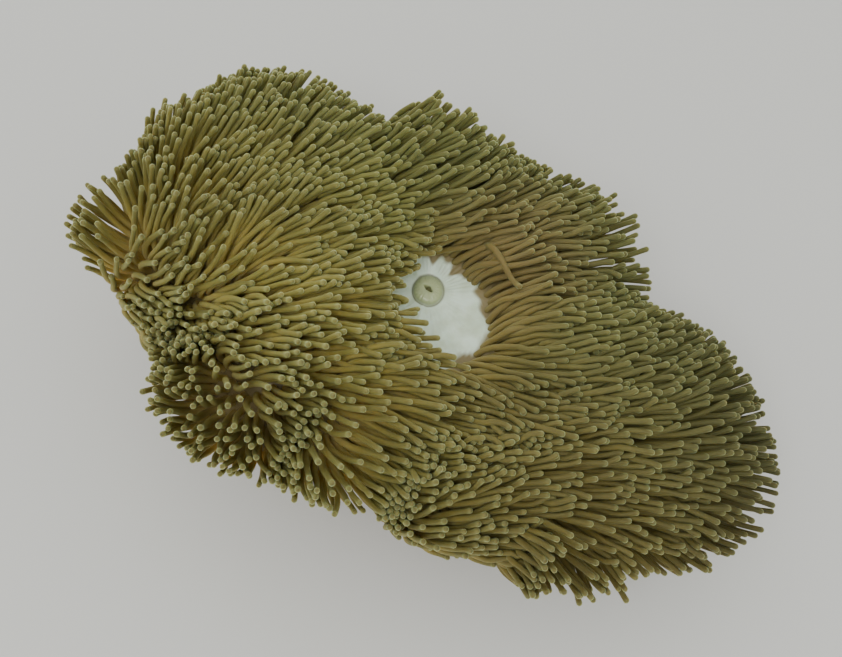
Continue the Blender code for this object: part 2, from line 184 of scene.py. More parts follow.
class Disc:
    """The shape of the oral disc's skin, which everything else lies on or grows from.

    A place on it has an azimuth, its direction from the mouth in radians, and an arc, its distance from the
    mouth along the skin in metres.
    """

    STEPS = 40
    PROBE = 0.0005
    LEAST_ARC = 0.002

    def __init__(self, sizes: DiscSizes) -> None:
        """Keeps the sizes, with one array for each of the lobes' measures.

        Args:
            sizes: The disc's sizes.
        """
        self.sizes = sizes
        self.azimuths = np.radians([lobe.azimuth for lobe in sizes.lobes])
        self.spreads = np.radians([lobe.spread for lobe in sizes.lobes])
        self.reaches = np.array([lobe.reach for lobe in sizes.lobes])
        self.crowns = np.array([lobe.crown for lobe in sizes.lobes])
        self.falls = np.radians([lobe.fall for lobe in sizes.lobes])

    def nearness(self, azimuth: np.ndarray) -> np.ndarray:
        """How near each direction is to each lobe, from 0 to 1, with the lobes on a new last axis."""
        turn = (azimuth[..., None] - self.azimuths + math.pi) % math.tau - math.pi
        return np.exp(-((turn / self.spreads) ** 2))

    def nearest_lobe(self, azimuth: np.ndarray) -> np.ndarray:
        """Which lobe each direction belongs to."""
        return self.nearness(azimuth).argmax(axis=-1)

    def reach(self, azimuth: np.ndarray) -> np.ndarray:
        """The arc at which the margin lies.

        Args:
            azimuth: Directions.

        Returns:
            Arcs.
        """
        near = self.nearness(azimuth)
        crease = 1.0 - np.minimum(near.max(axis=-1), 1.0)
        return near @ self.reaches / near.sum(axis=-1) - self.sizes.margin_notch * crease

    def bare_edge(self, azimuth: np.ndarray) -> np.ndarray:
        """The arc at which the bare patch round the mouth ends.

        Args:
            azimuth: Directions.

        Returns:
            Arcs.
        """
        turn = azimuth - math.radians(self.sizes.bare_heading)
        stretched = self.sizes.bare_stretch * np.cos(2.0 * azimuth)
        return self.sizes.bare_radius + self.sizes.bare_shift * np.cos(turn) + stretched

    def points(self, azimuth: np.ndarray, arc: np.ndarray) -> np.ndarray:
        """Places on the disc's upper skin.

        Args:
            azimuth: Directions.
            arc: Arcs, in the same shape.

        Returns:
            Positions, with x, y and z on a new last axis.
        """
        sizes = self.sizes
        near = self.nearness(azimuth)
        total = near.sum(axis=-1)
        reach = self.reach(azimuth)
        crown = near @ self.crowns / total
        fall = near @ self.falls / total
        share = (arc / reach)[..., None] * (np.arange(self.STEPS) + 0.5) / self.STEPS
        rise = crown * math.pi / (2.0 * sizes.crest_share * reach)
        slope = fall[..., None] * smooth((share - sizes.crest_share) / (1.0 - sizes.crest_share))
        slope = slope - rise[..., None] * np.sin(math.pi * np.clip(share / sizes.crest_share, 0.0, 1.0))
        out = np.cos(slope).mean(axis=-1) * arc
        down = np.sin(slope).mean(axis=-1) * arc
        crease = 1.0 - np.minimum(near.max(axis=-1), 1.0)
        sunk = smooth((arc / reach - sizes.crease_start) / (1.0 - sizes.crease_start))
        down = down + sizes.crease_depth * crease * sunk
        x, y = out * np.cos(azimuth), out * np.sin(azimuth)
        return np.stack([x, y, sizes.mouth_height - down + sizes.lean * y], axis=-1)

    def frames(self, azimuth: np.ndarray, arc: np.ndarray) -> tuple[np.ndarray, ...]:
        """The skin's place and lie.

        Args:
            azimuth: Directions.
            arc: Arcs, in the same shape.

        Returns:
            Positions, normals and the way out along the skin.
        """
        arc = np.maximum(arc, self.LEAST_ARC)
        out = self.points(azimuth, arc + self.PROBE) - self.points(azimuth, arc - self.PROBE)
        turn = self.PROBE / arc
        along = self.points(azimuth + turn, arc) - self.points(azimuth - turn, arc)
        return self.points(azimuth, arc), unit(np.cross(out, along)), unit(out)

    def under(self, azimuth: np.ndarray, arc: np.ndarray, depth: np.ndarray) -> np.ndarray:
        """Places below the upper skin, by shares of the disc's thickness.

        Args:
            azimuth: Directions.
            arc: Arcs, in the same shape.
            depth: Shares of the thickness, in the same shape.

        Returns:
            Positions, with x, y and z on a new last axis.
        """
        point, normal, _ = self.frames(azimuth, arc)
        share = np.minimum(arc / self.reach(azimuth), 1.0)
        thinner = self.sizes.margin_thickness - self.sizes.middle_thickness
        return point - normal * ((self.sizes.middle_thickness + thinner * share) * depth)[..., None]


@dataclass(frozen=True)
class Drift:
    """Which way the tentacles rooted near one place lean. Places are in metres, angles in degrees."""

    x: float
    y: float
    heading: float
    rise: float


@dataclass(frozen=True)
class Current:
    """The water's run over the disc, as the lean it gives at a few places."""

    ease: float = 0.010
    least_rise: float = 0.16
    drifts: tuple[Drift, ...] = (
        # over the left and the back
        Drift(-0.155, 0.065, 36, 28), Drift(-0.130, 0.030, 30, 24), Drift(-0.150, 0.005, 45, 32),
        Drift(-0.090, 0.060, 18, 18), Drift(-0.080, 0.028, 12, 15), Drift(-0.020, 0.065, 17, 18),
        Drift(-0.120, -0.008, 2, 12), Drift(-0.055, 0.000, -8, 10), Drift(-0.052, -0.024, -26, 8),
        Drift(-0.048, -0.050, -18, 6), Drift(-0.160, -0.025, -16, 19), Drift(-0.125, -0.050, -14, 22),
        Drift(-0.050, -0.072, -9, 5),
        # the left and back margins, where they stand up
        Drift(-0.196, -0.003, -47, 25), Drift(-0.205, 0.015, -18, 13), Drift(-0.214, 0.034, -170, 66),
        Drift(-0.182, 0.008, 15, 56), Drift(-0.190, 0.030, 34, 56), Drift(-0.206, 0.064, 75, 68),
        Drift(-0.216, 0.050, -178, 52), Drift(-0.205, 0.095, 52, 60), Drift(-0.180, 0.120, 26, 52),
        Drift(-0.155, 0.140, 36, 50), Drift(-0.105, 0.165, -10, 52), Drift(-0.130, 0.140, 27, 38),
        Drift(-0.087, 0.112, 9, 28), Drift(-0.055, 0.120, 0, 38), Drift(-0.055, 0.090, 12, 23),
        Drift(-0.006, 0.116, 25, 50), Drift(0.010, 0.112, -12, 26),
        # the front left bulge, where they part
        Drift(-0.150, -0.045, -50, 58), Drift(-0.180, -0.022, -60, 66), Drift(-0.175, -0.048, -120, 68),
        Drift(-0.166, -0.075, -120, 66), Drift(-0.154, -0.104, -108, 61), Drift(-0.138, -0.078, -70, 66),
        Drift(-0.125, -0.100, -84, 62), Drift(-0.114, -0.126, -92, 52), Drift(-0.077, -0.136, -80, 54),
        Drift(-0.118, -0.068, -30, 40), Drift(-0.102, -0.094, -50, 52), Drift(-0.088, -0.112, -64, 50),
        Drift(-0.050, -0.105, -22, 16), Drift(-0.032, -0.130, -50, 44),
        # the front
        Drift(-0.010, -0.140, 10, 52), Drift(0.012, -0.150, 0, 46), Drift(0.005, -0.128, 0, 22),
        Drift(0.012, -0.100, -20, 0), Drift(0.034, -0.140, -4, 16), Drift(0.060, -0.165, -76, 40),
        Drift(0.075, -0.145, -14, 8), Drift(0.085, -0.172, -88, 18), Drift(0.115, -0.165, -60, 14),
        Drift(0.145, -0.156, -32, 10),
        # the right
        Drift(0.010, -0.074, -14, 1), Drift(0.060, -0.060, -3, 6), Drift(0.055, 0.000, -5, 5),
        Drift(0.050, 0.036, 5, 11), Drift(0.006, 0.070, 28, 25), Drift(0.040, 0.085, 18, 28),
        Drift(0.090, 0.045, 6, 30), Drift(0.120, -0.010, -2, 14), Drift(0.115, -0.075, 8, 15),
        Drift(0.140, -0.087, 19, 23), Drift(0.120, -0.135, 4, 12), Drift(0.168, -0.115, 5, 14),
        Drift(0.180, -0.080, 3, 30), Drift(0.194, -0.110, -28, 18), Drift(0.175, -0.145, -18, 13),
    )

    def at(self, points: np.ndarray, turn: np.ndarray) -> np.ndarray:
        """The lean at these places.

        Args:
            points: Positions, with x, y and z on the last axis.
            turn: Degrees off the usual heading, one for each point.

        Returns:
            Directions, short where the drifts round a place disagree.
        """
        spots = np.array([(drift.x, drift.y) for drift in self.drifts])
        heading = np.radians([drift.heading for drift in self.drifts])
        rise = np.radians([drift.rise for drift in self.drifts])
        ways = ring_of(heading, np.cos(rise), np.sin(rise))
        far = ((points[..., None, :2] - spots) ** 2).sum(axis=-1)
        weight = 1.0 / (far + self.ease**2) ** 2
        way = weight @ ways / weight.sum(axis=-1, keepdims=True)
        cos, sin = np.cos(np.radians(turn)), np.sin(np.radians(turn))
        x, y = way[..., 0] * cos - way[..., 1] * sin, way[..., 0] * sin + way[..., 1] * cos
        return np.stack([x, y, way[..., 2]], axis=-1)


# ---------------------------------------------------------------- node trees and meshes


def opaque(colour: object) -> object:
    """A plain colour with full alpha, and a socket as it is."""
    return (*colour, 1.0) if isinstance(colour, tuple) else colour


class Graph:
    """A node tree, built a node at a time."""

    def __init__(self, tree: bpy.types.NodeTree) -> None:
        """Keeps the tree that the nodes go into."""
        self.tree = tree

    def node(self, kind: str, inputs: Inputs | None = None, **settings: object) -> bpy.types.Node:
        """Adds a node.

        Args:
            kind: The node's type.
            inputs: A socket to link or a value to set for each input, by its name or number.
            settings: Properties to set on the node first.

        Returns:
            The node.
        """
        made = self.tree.nodes.new(kind)
        for key, value in settings.items():
            setattr(made, key, value)
        self.feed(made, inputs or {})
        return made

    def feed(self, made: bpy.types.Node, inputs: Inputs) -> None:
        """Links or sets a node's inputs.

        Args:
            made: The node.
            inputs: A socket to link or a value to set for each input, by its name or number.
        """
        for key, value in inputs.items():
            if isinstance(value, bpy.types.NodeSocket):
                self.tree.links.new(value, made.inputs[key])
            else:
                made.inputs[key].default_value = value


class Socket(Enum):
    """Kinds of node-group sockets."""

    FLOAT = "NodeSocketFloat"
    INT = "NodeSocketInt"
    GEOMETRY = "NodeSocketGeometry"
    MATERIAL = "NodeSocketMaterial"


class Tree(Graph):
    """A Geometry Nodes tree that is run once over a mesh."""

    def __init__(self, name: str, inputs: dict[str, Socket]) -> None:
        """Starts a tree with a geometry input and output.

        Args:
            name: The tree's name.
            inputs: The names and kinds of its further inputs.
        """
        super().__init__(bpy.data.node_groups.new(name, "GeometryNodeTree"))
        face = self.tree.interface
        for label, kind in {"Geometry": Socket.GEOMETRY, **inputs}.items():
            face.new_socket(label, in_out="INPUT", socket_type=kind.value)
        face.new_socket("Geometry", in_out="OUTPUT", socket_type=Socket.GEOMETRY.value)
        self.given = self.node("NodeGroupInput").outputs

    def close(self, geometry: bpy.types.NodeSocket) -> None:
        """Ends the tree: realizes instances, sets the material and gives the result.

        Args:
            geometry: What the tree has made.
        """
        real = self.node("GeometryNodeRealizeInstances", {"Geometry": geometry}).outputs["Geometry"]
        paint = self.node("GeometryNodeSetMaterial", {"Geometry": real, "Material": self.given["Material"]})
        self.node("NodeGroupOutput", {"Geometry": paint.outputs["Geometry"]})

    def run(self, name: str, mesh: bpy.types.Mesh, values: dict[str, object]) -> bpy.types.Mesh:
        """Runs the tree over a mesh.

        Args:
            name: The name of the mesh it makes.
            mesh: What goes in.
            values: The inputs' values, by name.

        Returns:
            The plain mesh that comes out.
        """
        carrier = add_object(name + "_carrier", mesh)
        modifier = carrier.modifiers.new("nodes", "NODES")
        modifier.node_group = self.tree
        for item in self.tree.interface.items_tree:
            if item.item_type == "SOCKET" and item.in_out == "INPUT" and item.name in values:
                modifier[item.identifier] = values[item.name]
        carrier.update_tag()
        graph = bpy.context.evaluated_depsgraph_get()
        graph.update()
        made = bpy.data.meshes.new_from_object(carrier.evaluated_get(graph))
        made.name = name
        carrier.modifiers.remove(modifier)
        bpy.data.objects.remove(carrier)
        return made


def add_object(name: str, data: bpy.types.ID) -> bpy.types.Object:
    """Links a new object to the scene.

    Args:
        name: Its name.
        data: Its mesh, lamp or camera.

    Returns:
        The object.
    """
    made = bpy.data.objects.new(name, data)
    bpy.context.scene.collection.objects.link(made)
    return made


def add_attribute(mesh: bpy.types.Mesh, name: str, values: np.ndarray) -> None:
    """Stores one number for each vertex."""
    mesh.attributes.new(name, "FLOAT", "POINT").data.foreach_set("value", values.astype(np.float32).ravel())


def read_array(
    data: bpy.types.bpy_prop_collection, name: str, width: int = 1, kind: type = np.float32
) -> np.ndarray:
    """Reads a property of every item in a collection.

    Args:
        data: The collection.
        name: The property.
        width: How many numbers each item has.
        kind: The numbers' type.

    Returns:
        All numbers, in one row.
    """
    values = np.zeros(len(data) * width, dtype=kind)
    data.foreach_get(name, values)
    return values


class Corners:
    """The face corners of a mesh, for unwrapping it."""

    def __init__(self, mesh: bpy.types.Mesh) -> None:
        """Reads each corner's vertex and face, and how many sides that face has.

        Args:
            mesh: The mesh.
        """
        self.mesh = mesh
        totals = read_array(mesh.polygons, "loop_total", kind=np.int32)
        self.vertex = read_array(mesh.loops, "vertex_index", kind=np.int32)
        self.face = np.repeat(np.arange(len(totals)), totals)
        self.sides = totals[self.face]

    def lowest(self, values: np.ndarray, free: np.ndarray) -> np.ndarray:
        """The least value among the free corners of each corner's face.

        Args:
            values: One for each corner.
            free: Which corners count.

        Returns:
            One value for each corner.
        """
        low = np.full(len(self.mesh.polygons), np.inf)
        np.minimum.at(low, self.face[free], values[free])
        return low[self.face]

    def unrolled(self, around: np.ndarray, full: float, free: np.ndarray) -> np.ndarray:
        """Each corner's way round, carried on past a full turn in faces that cross the seam."""
        crosses = -self.lowest(-around, free) - self.lowest(around, free) > full / 2.0
        return np.where(crosses & free & (around < full / 2.0), around + full, around)

    def store(self, across: np.ndarray, upwards: np.ndarray) -> None:
        """Stores the unwrap."""
        flat = np.stack([across, upwards], -1).astype(np.float32).ravel()
        self.mesh.uv_layers.new(name="OFBake").data.foreach_set("uv", flat)


# ---------------------------------------------------------------- materials


@dataclass(frozen=True)
class Band:
    """A range of a value, and what the value becomes at its two ends and beyond them."""

    low: float
    high: float
    at_low: float = 0.0
    at_high: float = 1.0


@dataclass(frozen=True)
class Relief:
    """Shaded bumps: how many to a metre, how deep in metres, how much of them shows, and their octaves."""

    scale: float
    depth: float
    strength: float
    detail: float = 3.0


@dataclass(frozen=True)
class Flesh:
    """Moist flesh: how it scatters and shines."""

    roughness: float
    subsurface: float
    ior: float = 1.38
    radius: Colour = (0.0080, 0.0058, 0.0026)


@dataclass(frozen=True)
class TentacleFinish:
    """Colours along a tentacle and of the regions of the disc, and where each of them holds, with the painted
    light and shade laid over them.
    """

    # root and low: paler bases, partly the tentacles' own colour and partly painted light that lifts the
    # shade between tentacles.
    root: Colour = (0.640, 0.500, 0.190)
    low: Colour = (0.430, 0.345, 0.105)
    shaft: Colour = (0.225, 0.184, 0.041)
    upper: Colour = (0.144, 0.134, 0.032)
    tip: Colour = (0.150, 0.150, 0.052)
    pore: Colour = (0.090, 0.086, 0.028)
    brown: Colour = (0.108, 0.086, 0.023)
    brown_right: Band = Band(-0.05, 0.05, 0.0, 0.58)
    brown_body: Band = Band(0.90, 0.98, 1.0, 0.35)
    green: Colour = (0.118, 0.138, 0.040)
    green_way: Place = (0.6, 0.8, 0.0)
    green_back: Band = Band(-0.05, 0.06, 0.0, 0.75)
    warm: Colour = (0.200, 0.130, 0.048)
    warm_spot: Place = (0.055, 0.010, 0.115)
    warm_near: Band = Band(0.030, 0.085, 0.70, 0.0)
    # A painted rim light: the pale edge colour is laid where the surface turns away from the camera, and is
    # strongest at the tips.
    edge: Colour = (0.360, 0.415, 0.205)
    rim_light_blend: float = 0.45
    rim_light_facing: Band = Band(0.20, 0.68, 0.0, 0.90)
    rim_light_tip: Band = Band(0.88, 0.975, 0.16, 1.0)
    mottle_scale: float = 260.0
    mottle_detail: float = 2.0
    mottle: Band = Band(0.3, 0.7, 0.0, 0.18)
    tint: Band = Band(0.0, 1.0, 0.90, 1.14)
    # Painted shade: the next two multipliers darken the tentacles towards the right and the far right.
    painted_shade_right: Band = Band(-0.04, 0.14, 1.0, 0.78)
    painted_shade_far_right: Band = Band(0.14, 0.235, 1.0, 0.60)
    # A painted pool of light: the tentacles are brightened round this spot left of the mouth.
    painted_light_spot: Place = (-0.068, -0.020, 0.120)
    painted_light_near: Band = Band(0.030, 0.105, 1.34, 1.0)
    flesh: Flesh = Flesh(roughness=0.68, subsurface=0.75)
    relief: Relief = Relief(900.0, 0.0003, 0.15, 2.0)


@dataclass(frozen=True)
class SkinFinish:
    """Colours of the skin, and where each of them holds."""

    bare: Colour = (0.780, 0.920, 0.770)
    bed: Colour = (0.230, 0.185, 0.085)
    mouth: Colour = (0.400, 0.450, 0.230)
    cloud_scale: float = 70.0
    cloud: Band = Band(0.38, 0.68, 0.0, 0.42)
    # slit: painted shade, the dark colour laid in the mouth's slit and in the groove round the mouth.
    slit: Colour = (0.160, 0.150, 0.060)
    under: Colour = (0.240, 0.170, 0.110)
    patch_scale: float = 38.0
    patch: Band = Band(0.35, 0.7, 0.0, 0.4)
    column: Colour = (0.290, 0.110, 0.170)
    column_low: Colour = (0.360, 0.190, 0.200)
    low_height: Band = Band(0.0, 0.05, 1.0, 0.0)
    wart: Colour = (0.640, 0.520, 0.440)
    flesh: Flesh = Flesh(roughness=0.40, subsurface=0.10)
    wet_roughness: float = 0.13
    relief: Relief = Relief(160.0, 0.0014, 0.6)


class Shader(Graph):
    """A material's node tree, built a step at a time."""

    def __init__(self, name: str) -> None:
        """Starts a material with a Principled shader.

        Args:
            name: The material's name.
        """
        self.material = bpy.data.materials.new(name)
        self.material.use_nodes = True
        super().__init__(self.material.node_tree)
        self.surface = self.tree.nodes["Principled BSDF"]
        self.place = self.node("ShaderNodeTexCoord").outputs["Object"]
        self.split = self.node("ShaderNodeSeparateXYZ", {"Vector": self.place}).outputs

    def attribute(self, name: str) -> bpy.types.NodeSocket:
        """The value of a mesh attribute."""
        return self.node("ShaderNodeAttribute", attribute_name=name).outputs["Fac"]

    def ramp(self, value: bpy.types.NodeSocket, stops: list[tuple[float, Colour]]) -> bpy.types.NodeSocket:
        """Turns a value into colours.

        Args:
            value: What drives the ramp.
            stops: Positions and colours, in rising order.

        Returns:
            A colour socket.
        """
        made = self.node("ShaderNodeValToRGB", {"Fac": value})
        elements = made.color_ramp.elements
        while len(elements) < len(stops):
            elements.new(0.5)
        for element, (position, colour) in zip(elements, stops):
            element.position = position
            element.color = opaque(colour)
        return made.outputs["Color"]

    def mix(self, share: object, first: object, second: object, how: str = "MIX") -> bpy.types.NodeSocket:
        """Mixes two colours, each a socket or a plain one, by a share that is a socket or a number."""
        inputs = {0: share, 6: opaque(first), 7: opaque(second)}
        return self.node("ShaderNodeMix", inputs, data_type="RGBA", blend_type=how).outputs[2]

    def spread(self, value: bpy.types.NodeSocket, band: Band) -> bpy.types.NodeSocket:
        """Maps a value by a band."""
        ends = {"From Min": band.low, "From Max": band.high, "To Min": band.at_low, "To Max": band.at_high}
        return self.node("ShaderNodeMapRange", {"Value": value, **ends}).outputs["Result"]

    def noise(self, scale: float, detail: float = 3.0) -> bpy.types.NodeSocket:
        """Noise over object coordinates, with this many features to a metre."""
        inputs = {"Vector": self.place, "Scale": scale, "Detail": detail}
        return self.node("ShaderNodeTexNoise", inputs).outputs["Fac"]

    def nearness(self, spot: Place, band: Band) -> bpy.types.NodeSocket:
        """Maps the distance from a spot, in the object's coordinates, by a band."""
        away = self.node("ShaderNodeVectorMath", {0: self.place, 1: spot}, operation="DISTANCE")
        return self.spread(away.outputs["Value"], band)

    def product(self, first: bpy.types.NodeSocket, *others: bpy.types.NodeSocket) -> bpy.types.NodeSocket:
        """Multiplies values.

        Args:
            first: A value socket.
            others: More of them.

        Returns:
            A value socket.
        """
        for other in others:
            first = self.node("ShaderNodeMath", {0: first, 1: other}, operation="MULTIPLY").outputs[0]
        return first

    def flesh(self, colour: bpy.types.NodeSocket, kind: Flesh, relief: Relief) -> None:
        """Sets the shader to moist flesh of this colour.

        Args:
            colour: A colour socket.
            kind: How it scatters and shines.
            relief: Its bumps.
        """
        height = self.noise(relief.scale, relief.detail)
        bump = {"Distance": relief.depth, "Strength": relief.strength, "Height": height}
        inputs = {
            "Base Color": colour,
            "Roughness": kind.roughness,
            "IOR": kind.ior,
            "Subsurface Weight": kind.subsurface,
            "Subsurface Radius": kind.radius,
            "Subsurface Scale": 1.0,
            "Normal": self.node("ShaderNodeBump", bump).outputs["Normal"],
        }
        self.feed(self.surface, inputs)


def tentacle_material(finish: TentacleFinish) -> bpy.types.Material:
    """Olive-brown flesh with paler tips, browner downstream and greener at the far edges. The tips' pallor is
    partly a painted rim light. More painted light and shade lie over the rest: paler roots that lift the
    shade between tentacles, painted shade towards the right, and a painted pool of light left of the mouth.

    Args:
        finish: The colours.

    Returns:
        The material.
    """
    shader = Shader("tentacle")
    along, x = shader.attribute("along"), shader.split["X"]
    # The pale root and low colours are partly painted light, lifting the shade between tentacles.
    stops = [
        (0.0, finish.root),
        (0.30, finish.low),
        (0.58, finish.shaft),
        (0.78, finish.upper),
        (0.92, finish.upper),
        (0.975, finish.tip),
        (1.0, finish.pore),
    ]
    colour = shader.ramp(along, stops)
    share = shader.product(shader.spread(x, finish.brown_right), shader.spread(along, finish.brown_body))
    colour = shader.mix(share, colour, finish.brown)
    way = {0: shader.place, 1: finish.green_way}
    back = shader.node("ShaderNodeVectorMath", way, operation="DOT_PRODUCT").outputs["Value"]
    colour = shader.mix(shader.spread(back, finish.green_back), colour, finish.green)
    colour = shader.mix(shader.nearness(finish.warm_spot, finish.warm_near), colour, finish.warm)
    mottle = shader.spread(shader.noise(finish.mottle_scale, finish.mottle_detail), finish.mottle)
    colour = shader.mix(mottle, colour, finish.shaft)
    # Painted rim light: the pale edge colour where the surface turns away from the camera, mostly near the
    # tips.
    facing = shader.node("ShaderNodeLayerWeight", {"Blend": finish.rim_light_blend}).outputs["Facing"]
    share = shader.product(shader.spread(facing, finish.rim_light_facing), shader.spread(along, finish.rim_light_tip))
    colour = shader.mix(share, colour, finish.edge)
    # Grey multiplier: each tentacle's own random tint, times painted shade that darkens towards the right and
    # a painted pool of light left of the mouth.
    shade = shader.product(
        shader.spread(shader.attribute("tint"), finish.tint),
        shader.spread(x, finish.painted_shade_right),
        shader.spread(x, finish.painted_shade_far_right),
        # Painted pool of light round the spot left of the mouth.
        shader.nearness(finish.painted_light_spot, finish.painted_light_near),
    )
    grey = shader.node("ShaderNodeCombineColor", dict.fromkeys(("Red", "Green", "Blue"), shade))
    shader.flesh(shader.mix(1.0, colour, grey.outputs["Color"], "MULTIPLY"), finish.flesh, finish.relief)
    return shader.material


def skin_material(finish: SkinFinish) -> bpy.types.Material:
    """Pale bare disc, brown bed under the tentacles, a mauve column with pale warts, and painted shade in the
    mouth's slit and the groove round it.

    Args:
        finish: The colours.

    Returns:
        The material.
    """
    shader = Shader("skin")
    column = shader.mix(shader.spread(shader.split["Z"], finish.low_height), finish.column, finish.column_low)
    column = shader.mix(shader.spread(shader.noise(finish.patch_scale), finish.patch), column, finish.under)
    column = shader.mix(shader.attribute("wart"), column, finish.wart)
    cloud = shader.spread(shader.noise(finish.cloud_scale), finish.cloud)
    bare = shader.mix(cloud, finish.bare, finish.mouth)
    # The slit layer is painted shade in the mouth's slit and the groove round it.
    layers = {"column": column, "upper": finish.bed, "bare": bare, "lips": finish.mouth, "slit": finish.slit}
    colour = finish.under
    for mask, layer in layers.items():
        colour = shader.mix(shader.attribute(mask), colour, layer)
    shader.flesh(colour, finish.flesh, finish.relief)
    wet = Band(0.0, 1.0, finish.flesh.roughness, finish.wet_roughness)
    shader.feed(shader.surface, {"Roughness": shader.spread(shader.attribute("bare"), wet)})
    return shader.material


# ---------------------------------------------------------------- the skin


@dataclass(frozen=True)
class ColumnSizes:
    """Sizes of the foot and the column, in metres."""

    foot_radius: float = 0.086
    foot_thickness: float = 0.010
    foot_edge: float = 0.0055
    foot_round: float = 0.004
    foot_ripple: float = 0.008
    collar_radius: float = 0.074
    profile: tuple[tuple[float, float], ...] = (
        (0.00, 0.0775),
        (0.09, 0.0690),
        (0.24, 0.0620),
        (0.46, 0.0580),
        (0.70, 0.0610),
        (0.90, 0.0675),
        (1.00, 0.0735),
    )
    flare_start: float = 0.6
    folds: int = 48
    fold_depth: float = 0.0004
    wart_rows: int = 24
    wart_levels: int = 6
    wart_size: float = 0.0019
    wart_height: float = 0.0009
    wart_top: float = 0.100
    wart_drop: float = 0.011
    wart_shrink: float = 0.09
    wart_stray: float = 0.18


@dataclass(frozen=True)
class MouthSizes:
    """Sizes of the raised oval mouth and its surround, in metres."""

    surround: float = 0.0145
    half_length: float = 0.0115
    half_width: float = 0.0105
    height: float = 0.0055
    dish_depth: float = 0.22
    dish_share: float = 0.30
    slit_length: float = 0.0034
    slit_width: float = 0.0009
    slit_depth: float = 0.75
    gutter_share: float = 1.06
    gutter_width: float = 0.07
    gutter_depth: float = 0.0005
    folds: int = 22
    fold_height: float = 0.00016
    rays: int = 48
    ray_height: float = 0.00012
    ray_end: float = 0.045
    edge_waves: tuple[tuple[float, float, float], ...] = ((0.0035, 7.0, 0.6), (0.002, 17.0, 0.0))


